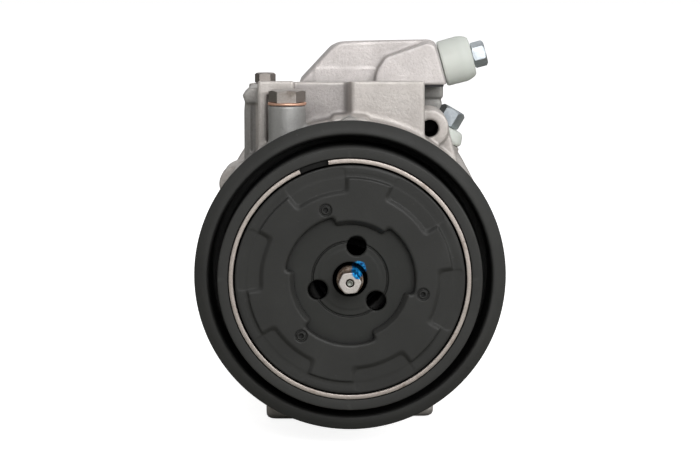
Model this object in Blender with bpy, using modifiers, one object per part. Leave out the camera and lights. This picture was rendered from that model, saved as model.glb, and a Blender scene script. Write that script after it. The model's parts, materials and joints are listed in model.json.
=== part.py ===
"""Variable-stroke swash-plate compressor for a car's air conditioning, with a damped belt pulley.

Metres, +Z up. The shaft lies along Y with the pulley towards -Y. The origin is the middle of the
flat end of the shaft's hexagon. The swash plate is drawn square to the shaft, its idle position.
"""

import math

import bmesh
import bpy
from mathutils import Matrix, Vector

MM = 0.001
GAP = 0.3 * MM
TAU = 2 * math.pi
COLLECTION = "ac_compressor"

# Facets round a turned piece.
FINE = 36
MEDIUM = 20
COARSE = 10
PISTON_STEPS = 20

# Shaft and hub.
HEX_FLATS = 8 * MM
HEX_LENGTH = 7 * MM
HEX_TURN = 24
THREAD_RADIUS = 5.2 * MM
SPLINE_RADIUS = 7 * MM
SEAL_RADIUS = 8 * MM
JOURNAL_RADIUS = 9.5 * MM
SHAFT_END = 158 * MM
HUB_FACE = 11.3 * MM
HUB_FLANGE_RADIUS = 31 * MM
HUB_FLANGE = 3.6 * MM
HUB_BOSS_RADIUS = 11 * MM
HUB_BOSS_END = 32 * MM
HUB_HOLE_RADIUS = 3.8 * MM
HUB_HOLE_CIRCLE = 13.2 * MM
HUB_HOLE_ANGLES = (79, 198.5, 320)

# Cover plate, in front of the hub.
COVER_FACE = 8 * MM
COVER_RADIUS = 44.4 * MM
COVER_LAND_RADIUS = 39.7 * MM
COVER_OPENING = 21.7 * MM
COVER_LOBE = 25.2 * MM
LOBE_ANGLES = (138, 20.5, 259.5)
LOBE_SPAN = 67
POCKET_INNER = 33.7 * MM
POCKET_OUTER = 42 * MM
POCKET_SPAN = 35
POCKET_DEPTH = 1.1 * MM
RIVET_CIRCLE = 28.8 * MM
RIVET_RADIUS = 1.9 * MM
RIVET_ANGLES = (109, 229, 349)

# Pulley.
RIM_RADIUS = 61 * MM
REAR_FLANGE_RADIUS = 58.9 * MM
RIM_FRONT = 17.6 * MM
RIM_REAR = 46.6 * MM
RIM_INNER = 55.1 * MM
RIB_TIP = 58.9 * MM
RIB_VALLEY = 56.2 * MM
RIB_PITCH = 3.56 * MM
RIB_COUNT = 6
RIB_START = 22.2 * MM
COLLAR_RADIUS = 51.4 * MM
COLLAR_FRONT = 10 * MM
LEDGE_RADIUS = 47.3 * MM
SNAP_GAP_ANGLES = (100.3, 114.7)
SNAP_INNER = 45.6 * MM
SNAP_OUTER = 47 * MM
SNAP_FRONT = 9.6 * MM
SNAP_BACK = 11.1 * MM
SEAT_RADIUS = 27.8 * MM

# Pulley bearing.
BEARING_START = 22 * MM
BEARING_END = 42 * MM
BALL_CIRCLE = 22.6 * MM
BALL_RADIUS = 2.15 * MM
BALL_COUNT = 10

# Housings.
BODY_RADIUS = 58 * MM
CHAMBER_RADIUS = 53 * MM
NOSE_RADIUS = 17.5 * MM
WALL_FRONT = 48.5 * MM
WALL_BACK = 57 * MM
BLOCK_FRONT = 118 * MM
BLOCK_BACK = 169.7 * MM
REEDS_FRONT = 170 * MM
VALVE_FRONT = 170.8 * MM
VALVE_BACK = 174.8 * MM
GASKET_FRONT = 175.1 * MM
REAR_FRONT = 176.2 * MM
REAR_BACK = 215 * MM
BOLT_CIRCLE = 55 * MM
BOLT_BOSS_RADIUS = 7.5 * MM
BOLT_RADIUS = 3 * MM
BOLT_ANGLES = (30, 90, 150, 210, 270, 330)
BOLT_HEAD_FRONT = 50 * MM
BOLT_HEAD = 5.6 * MM
BOLT_FLATS = 10 * MM
BOLT_TURN = 30
BOLT_END = 200 * MM
FOOT_BOTTOM = -68.8 * MM
FOOT_OUTSIDE = 35 * MM

# Pistons, swash plate and lug plate.
BORE_CIRCLE = 36.5 * MM
BORE_RADIUS = 16 * MM
PISTON_RADIUS = 15.7 * MM
PISTON_ANGLES = (0, 60, 120, 180, 240, 300)
PLATE_MIDDLE = 104 * MM
PLATE_HALF = 3.5 * MM
PLATE_RADIUS = 45.2 * MM
SLOT_HALF = 8 * MM
JAW_HALF = 9 * MM
JAW_INNER = 8.2 * MM
BRIDGE_START = 9.8 * MM
JAW_END = 13.5 * MM
CROWN = 165.9 * MM
SHOE_RADIUS = 10 * MM
SHOE_FLAT_RADIUS = 8.2 * MM
SHOE_SHOULDER = 5.5 * MM
HINGE_HEIGHT = 21 * MM
HINGE_AHEAD = 3.3 * MM
HINGE_EYE = 4.5 * MM
PIN_RADIUS = 2.4 * MM
ARM_INNER = 5.9 * MM
ARM_OUTER = 9.5 * MM
LUG_FRONT = 60.6 * MM
LUG_BACK = 70.6 * MM
LUG_RADIUS = 40 * MM

# Ports, plugs and valves.
PAD_TOP = 67.1 * MM
MANIFOLD_BOTTOM = 68.3 * MM
OIL_BOSS_TOP = Vector((-25.4, 59.5, 64)) * MM
OIL_BOSS_BOTTOM = Vector((-25.4, 59.5, 35)) * MM
OIL_BOSS_HOLE = Vector((-25.4, 59.5, 48)) * MM
TOP_BOLT_X = -36.5 * MM
TOP_BOLT_SEAT = 68.6 * MM
UPPER_PORT = Vector((40, 148, 76)) * MM
UPPER_AIM = Vector((math.cos(math.radians(15)), 0, math.sin(math.radians(15))))
LOWER_PORT = Vector((38.6, 136, 45.2)) * MM
LOWER_AIM = Vector((0.5, 0, math.sin(math.radians(60))))
PORT_DEEP = 4 * MM
CHECK_VALVE = Vector((5, 150, 70.5)) * MM
CONTROL_SPOT = Vector((20, 0, -24)) * MM
RELIEF_SPOT = Vector((-14, 0, -12)) * MM

MATERIALS = {
    "cast_aluminium": ((0.58, 0.55, 0.52), 0.85, 0.5),
    "black_steel": ((0.035, 0.035, 0.036), 0.4, 0.45),
    "black_rubber": ((0.02, 0.02, 0.02), 0.0, 0.8),
    "ground_steel": ((0.62, 0.62, 0.64), 1.0, 0.25),
    "zinc_steel": ((0.66, 0.69, 0.72), 1.0, 0.3),
    "spring_steel": ((0.55, 0.52, 0.49), 1.0, 0.32),
    "copper": ((0.78, 0.36, 0.2), 1.0, 0.35),
    "brass": ((0.72, 0.52, 0.25), 1.0, 0.35),
    "cap_plastic": ((0.8, 0.85, 0.76), 0.0, 0.4),
    "gasket_fibre": ((0.1, 0.1, 0.11), 0.0, 0.7),
    "bearing_cage": ((0.35, 0.25, 0.14), 0.0, 0.5),
}


def clear_scene():
    for obj in list(bpy.data.objects):
        bpy.data.objects.remove(obj)


def make_material(name, colour, metallic, roughness):
    material = bpy.data.materials.new(name)
    material.use_nodes = True
    shader = material.node_tree.nodes["Principled BSDF"]
    shader.inputs["Base Color"].default_value = (*colour, 1)
    shader.inputs["Metallic"].default_value = metallic
    shader.inputs["Roughness"].default_value = roughness
    material.diffuse_color = (*colour, 1)
    return material


def make_collections():
    parts = bpy.data.collections.new(COLLECTION)
    bpy.context.scene.collection.children.link(parts)
    cutters = bpy.data.collections.new("cutters")
    cutters.hide_render = True
    bpy.context.scene.collection.children.link(cutters)


def helper(mesh):
    """An object that only shapes another one."""
    obj = bpy.data.objects.new("helper", mesh)
    obj.hide_render = True
    obj.display_type = "WIRE"
    bpy.data.collections["cutters"].objects.link(obj)
    return obj


def piece(name, shape, material):
    """Turns a helper into a named piece with its material and smooth shading."""
    bpy.data.collections["cutters"].objects.unlink(shape)
    bpy.data.collections[COLLECTION].objects.link(shape)
    shape.name = name
    shape.data.name = name
    shape.hide_render = False
    shape.display_type = "TEXTURED"
    shape.data.materials.clear()
    shape.data.materials.append(bpy.data.materials[material])
    shape.data.shade_smooth()
    shape.data.set_sharp_from_angle(angle=math.radians(32))
    return shape


def settle(obj):
    """Replaces the object's mesh by the one its modifiers make."""
    bpy.context.view_layer.update()
    graph = bpy.context.evaluated_depsgraph_get()
    mesh = bpy.data.meshes.new_from_object(obj.evaluated_get(graph))
    obj.modifiers.clear()
    obj.data = mesh
    return obj


def from_bmesh(shape):
    mesh = bpy.data.meshes.new("shape")
    shape.to_mesh(mesh)
    shape.free()
    return helper(mesh)


def turned(outline, steps):
    """Turns a closed outline of (y, radius) points about the Y axis."""
    area = sum(
        y * next_radius - next_y * radius
        for (y, radius), (next_y, next_radius) in zip(outline, outline[1:] + outline[:1])
    )
    ordered = outline if area > 0 else outline[::-1]
    mesh = bpy.data.meshes.new("outline")
    edges = [(i, (i + 1) % len(ordered)) for i in range(len(ordered))]
    on_axis = {i for i, point in enumerate(ordered) if point[1] == 0}
    edges = [edge for edge in edges if not set(edge) <= on_axis]
    mesh.from_pydata([(radius, y, 0) for y, radius in ordered], edges, [])
    obj = helper(mesh)
    screw = obj.modifiers.new("Turn", "SCREW")
    screw.axis = "Y"
    screw.steps = steps
    screw.render_steps = steps
    screw.use_merge_vertices = True
    screw.merge_threshold = 0.01 * MM
    return settle(obj)


def tube(start, end, inner, outer, steps=MEDIUM):
    """A plain ring about the Y axis."""
    return turned([(start, inner), (start, outer), (end, outer), (end, inner)], steps)


def rod(start, end, radius, steps=MEDIUM):
    """A plain round bar about the Y axis."""
    return turned([(start, 0), (start, radius), (end, radius), (end, 0)], steps)


def box(low, high, bevel=0.0):
    low = Vector(low)
    high = Vector(high)
    shape = bmesh.new()
    matrix = Matrix.Translation((low + high) / 2) @ Matrix.Diagonal((*(high - low), 1))
    bmesh.ops.create_cube(shape, size=1.0, matrix=matrix)
    if bevel:
        bmesh.ops.bevel(
            shape,
            geom=shape.edges[:],
            offset=bevel,
            segments=2,
            profile=0.5,
            affect="EDGES",
            clamp_overlap=True,
        )
    return from_bmesh(shape)


def bars(items, sides=COARSE, turn=0.0):
    """Separate straight bars, each (start, end, radius) or (start, end, radius, end radius)."""
    shape = bmesh.new()
    for start, end, radius, *rest in items:
        start = Vector(start)
        axis = Vector(end) - start
        matrix = Matrix.Translation(start + axis / 2)
        matrix = matrix @ axis.to_track_quat("Z", "Y").to_matrix().to_4x4()
        bmesh.ops.create_cone(
            shape,
            cap_ends=True,
            segments=sides,
            radius1=radius,
            radius2=rest[0] if rest else radius,
            depth=axis.length,
            matrix=matrix @ Matrix.Rotation(turn, 4, "Z"),
        )
    return from_bmesh(shape)


def hexagon(start, end, flats, turn=0.0):
    return bars([(start, end, flats / math.sqrt(3))], sides=6, turn=turn)


def prism(outline, start, end):
    """A flat outline of (x, z) points, given thickness from start to end along Y."""
    curve = bpy.data.curves.new("outline", "CURVE")
    curve.dimensions = "2D"
    curve.fill_mode = "BOTH"
    curve.extrude = (end - start) / 2
    spline = curve.splines.new("POLY")
    spline.points.add(len(outline) - 1)
    for point, (x, z) in zip(spline.points, outline):
        point.co = (x, z, 0, 1)
    spline.use_cyclic_u = True
    obj = bpy.data.objects.new("outline", curve)
    bpy.data.collections["cutters"].objects.link(obj)
    obj.location = (0, (start + end) / 2, 0)
    obj.rotation_euler = (math.pi / 2, 0, 0)
    bpy.context.view_layer.update()
    graph = bpy.context.evaluated_depsgraph_get()
    mesh = bpy.data.meshes.new_from_object(obj.evaluated_get(graph))
    mesh.transform(obj.matrix_world)
    bpy.data.objects.remove(obj)
    shape = bmesh.new()
    shape.from_mesh(mesh)
    bmesh.ops.remove_doubles(shape, verts=shape.verts, dist=0.001 * MM)
    bmesh.ops.recalc_face_normals(shape, faces=shape.faces)
    return from_bmesh(shape)


def plank(outline, start, end):
    """A flat outline of (y, z) points, given thickness from start to end along X."""
    shape = prism(outline, -end, -start)
    shape.data.transform(Matrix.Rotation(math.pi / 2, 4, "Z"))
    return shape


def combine(target, other, operation):
    boolean = target.modifiers.new("Combine", "BOOLEAN")
    boolean.operation = operation
    boolean.solver = "EXACT"
    boolean.object = other
    settle(target)
    bpy.data.objects.remove(other)
    return target


def cut(target, *others):
    for other in others:
        combine(target, other, "DIFFERENCE")
    return target


def join(target, *others):
    for other in others:
        combine(target, other, "UNION")
    return target


def on_circle(radius, degrees, y=0.0):
    angle = math.radians(degrees)
    return Vector((radius * math.cos(angle), y, radius * math.sin(angle)))


def along_y(points, start, end, radius):
    """Bars along Y through the given points."""
    return [((p[0], start, p[2]), (p[0], end, p[2]), radius) for p in points]


def on_bolts(start, end, radius):
    return along_y([on_circle(BOLT_CIRCLE, angle) for angle in BOLT_ANGLES], start, end, radius)


def on_bores(start, end, radius):
    return along_y([on_circle(BORE_CIRCLE, angle) for angle in PISTON_ANGLES], start, end, radius)


def sector(inner, outer, middle, span, steps=6):
    """A piece of a flat ring, as (x, z) points, centred on the angle middle."""
    angles = [math.radians(middle + span * (i / steps - 0.5)) for i in range(steps + 1)]
    far = [(outer * math.cos(angle), outer * math.sin(angle)) for angle in angles]
    near = [(inner * math.cos(angle), inner * math.sin(angle)) for angle in angles]
    return far + near[::-1]


def make_drive_shaft():
    shaft = turned(
        [
            (6 * MM, 0),
            (6 * MM, THREAD_RADIUS),
            (16.5 * MM, THREAD_RADIUS),
            (16.5 * MM, SPLINE_RADIUS),
            (33 * MM, SPLINE_RADIUS),
            (33 * MM, SEAL_RADIUS),
            (46.5 * MM, SEAL_RADIUS),
            (46.5 * MM, JOURNAL_RADIUS),
            (SHAFT_END - MM, JOURNAL_RADIUS),
            (SHAFT_END, JOURNAL_RADIUS - MM),
            (SHAFT_END, 0),
        ],
        MEDIUM,
    )
    nose = hexagon((0, 0, 0), (0, HEX_LENGTH, 0), HEX_FLATS, turn=math.radians(HEX_TURN))
    piece("drive_shaft", join(shaft, nose), "ground_steel")


def make_drive_hub():
    back = HUB_FACE + HUB_FLANGE
    hub = turned(
        [
            (HUB_FACE, 6.4 * MM),
            (HUB_FACE, HUB_FLANGE_RADIUS),
            (back, HUB_FLANGE_RADIUS),
            (back, HUB_BOSS_RADIUS),
            (HUB_BOSS_END, HUB_BOSS_RADIUS),
            (HUB_BOSS_END, SPLINE_RADIUS + GAP),
            (16.2 * MM, SPLINE_RADIUS + GAP),
            (16.2 * MM, 6.4 * MM),
        ],
        MEDIUM,
    )
    vents = [on_circle(HUB_HOLE_CIRCLE, angle) for angle in HUB_HOLE_ANGLES]
    rivets = [on_circle(RIVET_CIRCLE, angle) for angle in RIVET_ANGLES]
    front = HUB_FACE - MM
    hub = cut(
        hub,
        bars(along_y(vents, front, back + 1.2 * MM, HUB_HOLE_RADIUS)),
        bars(along_y(rivets, front, back + MM, 1.5 * MM)),
    )
    piece("drive_hub", hub, "black_steel")


def make_cover_plate():
    back = COVER_FACE + 3 * MM
    step = COVER_FACE + MM
    cover = turned(
        [
            (COVER_FACE, COVER_OPENING),
            (COVER_FACE, COVER_LAND_RADIUS),
            (step, COVER_LAND_RADIUS),
            (step, COVER_RADIUS - 0.6 * MM),
            (step + 0.6 * MM, COVER_RADIUS),
            (18 * MM, COVER_RADIUS),
            (18 * MM, COVER_RADIUS - 2.2 * MM),
            (back, COVER_RADIUS - 2.2 * MM),
            (back, COVER_OPENING),
        ],
        FINE,
    )
    front = COVER_FACE - MM
    for angle in LOBE_ANGLES:
        lobe = sector(COVER_OPENING - 3 * MM, COVER_LOBE, angle, LOBE_SPAN)
        cut(cover, prism(lobe, front, back + MM))
    for index in range(6):
        pocket = sector(POCKET_INNER, POCKET_OUTER, 49 + 60 * index, POCKET_SPAN)
        cut(cover, prism(pocket, front, COVER_FACE + POCKET_DEPTH))
    spots = [on_circle(RIVET_CIRCLE, angle) for angle in RIVET_ANGLES]
    join(
        cover,
        bars(along_y(spots, COVER_FACE - 0.4 * MM, step, RIVET_RADIUS)),
        bars(along_y(spots, step, HUB_FACE + HUB_FLANGE + 0.6 * MM, 1.2 * MM)),
    )
    piece("cover_plate", cover, "black_steel")


def make_damper_ring():
    ring = tube(HUB_FACE + 0.1 * MM, 18 * MM, HUB_FLANGE_RADIUS + 0.4 * MM, 41.8 * MM, FINE)
    piece("damper_ring", ring, "black_rubber")


def make_cover_snap_ring():
    ring = tube(SNAP_FRONT, SNAP_BACK, SNAP_INNER, SNAP_OUTER, FINE)
    low, high = SNAP_GAP_ANGLES
    gap = sector(SNAP_INNER - MM, SNAP_OUTER + MM, (low + high) / 2, high - low, 2)
    cut(ring, prism(gap, SNAP_FRONT - MM, SNAP_BACK + MM))
    piece("cover_snap_ring", ring, "spring_steel")


def make_pulley():
    ribs = []
    for index in range(RIB_COUNT):
        middle = RIB_START + (index + 0.5) * RIB_PITCH
        ribs += [(middle - RIB_PITCH / 2 + 0.2 * MM, RIB_TIP), (middle, RIB_VALLEY)]
    ribs.append((RIB_START + RIB_COUNT * RIB_PITCH - 0.2 * MM, RIB_TIP))
    outline = [
        (RIM_FRONT + MM, RIM_INNER),
        (RIM_FRONT, RIM_INNER + MM),
        (RIM_FRONT + 0.9 * MM, RIM_RADIUS - 1.2 * MM),
        (RIM_FRONT + 2.2 * MM, RIM_RADIUS),
        (RIM_FRONT + 3.8 * MM, RIM_RADIUS),
        *ribs,
        (RIM_REAR - 2 * MM, REAR_FLANGE_RADIUS),
        (RIM_REAR, REAR_FLANGE_RADIUS - 0.4 * MM),
        (RIM_REAR, RIM_INNER),
        (42 * MM, RIM_INNER),
        (42 * MM, 47.5 * MM),
        (25 * MM, 46.5 * MM),
        (24.5 * MM, 33 * MM),
        (44 * MM, 31.8 * MM),
        (44 * MM, SEAT_RADIUS),
        (21.7 * MM, SEAT_RADIUS),
        (21.7 * MM, SEAT_RADIUS - 1.5 * MM),
        (20.3 * MM, SEAT_RADIUS - 1.5 * MM),
        (20.3 * MM, 45 * MM),
        (SNAP_BACK + GAP, 45 * MM),
        (SNAP_BACK + GAP, LEDGE_RADIUS),
        (COLLAR_FRONT, LEDGE_RADIUS),
        (COLLAR_FRONT, COLLAR_RADIUS - 0.5 * MM),
        (COLLAR_FRONT + 0.5 * MM, COLLAR_RADIUS),
        (38 * MM, COLLAR_RADIUS),
        (38 * MM, RIM_INNER),
    ]
    piece("pulley", turned(outline, FINE), "black_steel")


def make_bearing_rings():
    middle = (BEARING_START + BEARING_END) / 2
    for name, back, face, race in (
        ("bearing_inner_ring", 17.9 * MM, 20.9 * MM, 20.1 * MM),
        ("bearing_outer_ring", 27.5 * MM, 24.3 * MM, 25.1 * MM),
    ):
        ring = turned(
            [
                (BEARING_START, back),
                (BEARING_START, face),
                (middle - 2.4 * MM, face),
                (middle - 1.4 * MM, race),
                (middle + 1.4 * MM, race),
                (middle + 2.4 * MM, face),
                (BEARING_END, face),
                (BEARING_END, back),
            ],
            MEDIUM,
        )
        piece(name, ring, "ground_steel")


def make_ball_cage():
    middle = (BEARING_START + BEARING_END) / 2
    cage = tube(middle - 3 * MM, middle + 3 * MM, 21.7 * MM, 23.5 * MM, FINE)
    balls = bmesh.new()
    for index in range(BALL_COUNT):
        spot = on_circle(BALL_CIRCLE, 360 * index / BALL_COUNT, middle)
        bmesh.ops.create_uvsphere(
            balls,
            u_segments=8,
            v_segments=4,
            radius=BALL_RADIUS,
            matrix=Matrix.Translation(spot),
        )
    piece("ball_cage", join(cage, from_bmesh(balls)), "bearing_cage")


def make_shaft_seal():
    seal = turned(
        [
            (34 * MM, 8.8 * MM),
            (34 * MM, 13.7 * MM),
            (42.5 * MM, 13.7 * MM),
            (42.5 * MM, 9.4 * MM),
            (39.5 * MM, 8.3 * MM),
            (38.5 * MM, 8.3 * MM),
        ],
        MEDIUM,
    )
    piece("shaft_seal", seal, "black_rubber")


def make_needle_bearings():
    inner = JOURNAL_RADIUS + GAP
    front = tube(47 * MM, WALL_BACK - 0.5 * MM, inner, 13 * MM)
    piece("front_needle_bearing", front, "ground_steel")
    rear = tube(140 * MM, 155 * MM, inner, 12.5 * MM)
    piece("rear_needle_bearing", rear, "ground_steel")


def make_thrust_cage():
    middle = (WALL_BACK + LUG_FRONT) / 2
    cage = tube(middle - 0.8 * MM, middle + 0.8 * MM, 14.5 * MM, 26.5 * MM)
    count = 10
    needles = bars(
        [
            (on_circle(16 * MM, turn, middle), on_circle(25 * MM, turn, middle), 1.3 * MM)
            for turn in (360 * (i + 0.5) / count for i in range(count))
        ],
        sides=6,
    )
    piece("thrust_needle_cage", join(cage, needles), "ground_steel")


def make_front_housing():
    outside = turned(
        [
            (22 * MM, 0),
            (22 * MM, NOSE_RADIUS),
            (WALL_FRONT, NOSE_RADIUS),
            (WALL_FRONT, 40 * MM),
            (52 * MM, 54 * MM),
            (57 * MM, BODY_RADIUS),
            (BLOCK_FRONT - GAP, BODY_RADIUS),
            (BLOCK_FRONT - GAP, 0),
        ],
        FINE,
    )
    column = [(-44.2, 12), (-44.2, 62), (-44.5, 66.4), (-41.9, 69), (-36, 69.6), (-36, 12)]
    ear_web = [(25, 40), (25.3, 52), (41.3, 52.3), (41, 44), (46.8, 37), (44, 25)]
    join(
        outside,
        box((-38.5 * MM, 69 * MM, 35 * MM), (30.5 * MM, 96 * MM, 71.5 * MM), 1.5 * MM),
        box((-37.5 * MM, 90 * MM, 35 * MM), (29 * MM, 116 * MM, 66 * MM), 1 * MM),
        prism(in_mm(column), 92 * MM, 116.5 * MM),
        prism(in_mm(ear_web), 94 * MM, 116.2 * MM),
        bars([((33.3 * MM, 90 * MM, 52.3 * MM), (33.3 * MM, 115.8 * MM, 52.3 * MM), 8 * MM)]),
        bars([(OIL_BOSS_BOTTOM, OIL_BOSS_TOP, 7.5 * MM)]),
        box((-FOOT_OUTSIDE, 78 * MM, FOOT_BOTTOM), (-19 * MM, 96 * MM, -40 * MM), 1.5 * MM),
        box((19 * MM, 84 * MM, FOOT_BOTTOM), (FOOT_OUTSIDE, 102 * MM, -40 * MM), 1.5 * MM),
    )
    chamber = turned(
        [
            (21 * MM, 0),
            (21 * MM, 14 * MM),
            (43 * MM, 14 * MM),
            (43 * MM, 10 * MM),
            (46.7 * MM, 10 * MM),
            (46.7 * MM, 13.3 * MM),
            (WALL_BACK, 13.3 * MM),
            (WALL_BACK, 44 * MM),
            (62 * MM, CHAMBER_RADIUS),
            (BLOCK_FRONT + MM, CHAMBER_RADIUS),
            (BLOCK_FRONT + MM, 0),
        ],
        FINE,
    )
    cut(outside, chamber)
    seat = BOLT_HEAD_FRONT + BOLT_HEAD + GAP
    join(outside, bars(on_bolts(seat, BLOCK_FRONT - 0.6 * MM, BOLT_BOSS_RADIUS)))
    cut(
        outside,
        bars(on_bolts(45 * MM, seat, 6.8 * MM)),
        bars(on_bolts(50 * MM, BLOCK_FRONT + MM, BOLT_RADIUS + GAP), sides=8),
        bars([((33.3 * MM, 89 * MM, 52.3 * MM), (33.3 * MM, 110 * MM, 52.3 * MM), 3.5 * MM)]),
        bars([(OIL_BOSS_HOLE, OIL_BOSS_TOP + Vector((0, 0, MM)), 5.3 * MM)]),
    )
    piece("front_housing", outside, "cast_aluminium")


def make_cylinder_block():
    block = rod(BLOCK_FRONT, BLOCK_BACK, BODY_RADIUS, FINE)
    join(
        block,
        bars(on_bolts(BLOCK_FRONT + 0.2 * MM, BLOCK_BACK - 0.2 * MM, BOLT_BOSS_RADIUS)),
        box((-22 * MM, 126 * MM, 40 * MM), (30 * MM, 163 * MM, PAD_TOP), 1 * MM),
        box((26 * MM, 148 * MM, 40 * MM), (41 * MM, 163 * MM, PAD_TOP - 0.2 * MM), 1 * MM),
        bars([(LOWER_PORT - 16 * MM * LOWER_AIM, LOWER_PORT, 10.5 * MM)], sides=MEDIUM),
        bars([((TOP_BOLT_X, 127 * MM, 30 * MM), (TOP_BOLT_X, 127 * MM, TOP_BOLT_SEAT), 7 * MM)]),
    )
    cut(
        block,
        bars(on_bores(BLOCK_FRONT - MM, BLOCK_BACK + MM, BORE_RADIUS), sides=MEDIUM),
        bars(on_bolts(BLOCK_FRONT - MM, BLOCK_BACK + MM, BOLT_RADIUS + GAP), sides=8),
        turned(
            [
                (BLOCK_FRONT - MM, 0),
                (BLOCK_FRONT - MM, 12.8 * MM),
                (160 * MM, 12.8 * MM),
                (160 * MM, 3 * MM),
                (BLOCK_BACK + MM, 3 * MM),
                (BLOCK_BACK + MM, 0),
            ],
            MEDIUM,
        ),
        bars([((TOP_BOLT_X, 127 * MM, 50 * MM), (TOP_BOLT_X, 127 * MM, 71 * MM), 3.3 * MM)]),
        bars([((5 * MM, 150 * MM, 60 * MM), (5 * MM, 150 * MM, 69 * MM), 6 * MM)]),
        bars([((LOWER_PORT - PORT_DEEP * LOWER_AIM), (LOWER_PORT + MM * LOWER_AIM), 3.3 * MM)]),
    )
    piece("cylinder_block", block, "cast_aluminium")


def make_rear_housing():
    housing = turned(
        [
            (REAR_FRONT, 0),
            (REAR_FRONT, BODY_RADIUS),
            (204 * MM, BODY_RADIUS),
            (211 * MM, 53 * MM),
            (REAR_BACK, 42 * MM),
            (REAR_BACK, 0),
        ],
        FINE,
    )
    join(
        housing,
        bars(on_bolts(REAR_FRONT + 0.2 * MM, 207 * MM, BOLT_BOSS_RADIUS)),
        box((-FOOT_OUTSIDE, 184 * MM, FOOT_BOTTOM), (-19 * MM, 202 * MM, -40 * MM), 1.5 * MM),
        box((19 * MM, 184 * MM, FOOT_BOTTOM), (FOOT_OUTSIDE, 202 * MM, -40 * MM), 1.5 * MM),
        bars([(CONTROL_SPOT + along(208), CONTROL_SPOT + along(222), 11 * MM)], sides=MEDIUM),
        bars([(RELIEF_SPOT + along(208), RELIEF_SPOT + along(218), 9 * MM)], sides=MEDIUM),
    )
    suction = [(175, 32), (175, 46), (200, 46), (200, 32)]
    discharge = [(175, 0), (175, 27), (196, 27), (196, 0)]
    cut(
        housing,
        turned(in_mm(suction), MEDIUM),
        turned(in_mm(discharge), MEDIUM),
        bars(on_bolts(175 * MM, 203 * MM, BOLT_RADIUS + GAP), sides=8),
        bars([(CONTROL_SPOT + along(203), CONTROL_SPOT + along(223), 8.3 * MM)], sides=MEDIUM),
        bars([(RELIEF_SPOT + along(195), RELIEF_SPOT + along(219), 5.3 * MM)]),
    )
    piece("rear_housing", housing, "cast_aluminium")


def in_mm(points):
    return [(first * MM, second * MM) for first, second in points]


def along(y):
    """A step along the shaft, in millimetres."""
    return Vector((0, y * MM, 0))


def make_flat_plates():
    """The suction reeds, the valve plate and the rear gasket."""
    plate_bolts = on_bolts(168 * MM, 178 * MM, BOLT_RADIUS + GAP)
    reeds = rod(REEDS_FRONT, REEDS_FRONT + 0.5 * MM, BODY_RADIUS - MM, FINE)
    cut(reeds, bars(plate_bolts, sides=8))
    for angle in PISTON_ANGLES:
        cut(reeds, prism(reed_slot(angle), 169 * MM, 172 * MM))
    piece("suction_reed_plate", reeds, "spring_steel")
    plate = rod(VALVE_FRONT, VALVE_BACK, BODY_RADIUS, FINE)
    join(plate, bars(on_bolts(VALVE_FRONT + 0.2 * MM, VALVE_BACK - 0.2 * MM, BOLT_BOSS_RADIUS)))
    ports = [on_circle(41 * MM, angle) for angle in PISTON_ANGLES]
    ports += [on_circle(24 * MM, angle) for angle in PISTON_ANGLES]
    cut(
        plate,
        bars(plate_bolts, sides=8),
        bars(along_y(ports, 169 * MM, 177 * MM, 2.8 * MM), sides=8),
    )
    piece("valve_plate", plate, "ground_steel")
    gasket = tube(GASKET_FRONT, GASKET_FRONT + 0.8 * MM, 47 * MM, BODY_RADIUS, FINE)
    cut(gasket, bars(plate_bolts, sides=8))
    piece("head_gasket", gasket, "gasket_fibre")


def reed_slot(angle):
    """The horseshoe slot that frees one suction reed, as (x, z) points."""
    slot = [(30, -5.5), (46, -5.5), (46, 5.5), (30, 5.5), (30, 4), (44, 4), (44, -4), (30, -4)]
    turn = Matrix.Rotation(math.radians(angle), 2)
    return [tuple(turn @ Vector(point)) for point in in_mm(slot)]


def make_through_bolts():
    for index, angle in enumerate(BOLT_ANGLES):
        spot = on_circle(BOLT_CIRCLE, angle)
        neck = BOLT_HEAD_FRONT + BOLT_HEAD
        top, bottom = (spot + Vector((0, y, 0)) for y in (BOLT_HEAD_FRONT, neck))
        head = hexagon(top, bottom, BOLT_FLATS, turn=math.radians(BOLT_TURN))
        shank = bars(along_y([spot], neck - MM, BOLT_END, BOLT_RADIUS), sides=8)
        piece(f"through_bolt_{index + 1}", join(head, shank), "zinc_steel")


def make_lug_plate():
    lug = tube(LUG_FRONT, LUG_BACK, JOURNAL_RADIUS + GAP, LUG_RADIUS)
    hinge = PLATE_MIDDLE - HINGE_AHEAD
    root = LUG_BACK - 2 * MM
    arm = [(root, HINGE_HEIGHT - HINGE_EYE)]
    for step in range(9):
        lean = math.pi * (step / 8 - 0.5)
        arm.append((hinge + HINGE_EYE * math.cos(lean), HINGE_HEIGHT + HINGE_EYE * math.sin(lean)))
    arm.append((root, HINGE_HEIGHT + HINGE_EYE))
    join(lug, plank(arm, ARM_INNER, ARM_OUTER), plank(arm, -ARM_OUTER, -ARM_INNER))
    pin = [((-12 * MM, hinge, HINGE_HEIGHT), (12 * MM, hinge, HINGE_HEIGHT), PIN_RADIUS + GAP)]
    piece("lug_plate", cut(lug, bars(pin)), "ground_steel")


def make_swash_plate():
    front = PLATE_MIDDLE - PLATE_HALF
    plate = tube(front, PLATE_MIDDLE + PLATE_HALF, 11.6 * MM, PLATE_RADIUS, FINE)
    hinge = PLATE_MIDDLE - HINGE_AHEAD
    pockets = [
        (
            (side * (ARM_INNER - 0.4 * MM), hinge, HINGE_HEIGHT),
            (side * (ARM_OUTER + 0.5 * MM), hinge, HINGE_HEIGHT),
            HINGE_EYE + 0.8 * MM,
        )
        for side in (-1, 1)
    ]
    cut(plate, bars(pockets))
    ear = (ARM_INNER - 0.4 * MM, HINGE_EYE)
    pin = (ARM_OUTER - 0.3 * MM, PIN_RADIUS)
    for half, radius in (ear, pin):
        join(plate, bars([((-half, hinge, HINGE_HEIGHT), (half, hinge, HINGE_HEIGHT), radius)]))
    piece("swash_plate", plate, "ground_steel")


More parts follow.
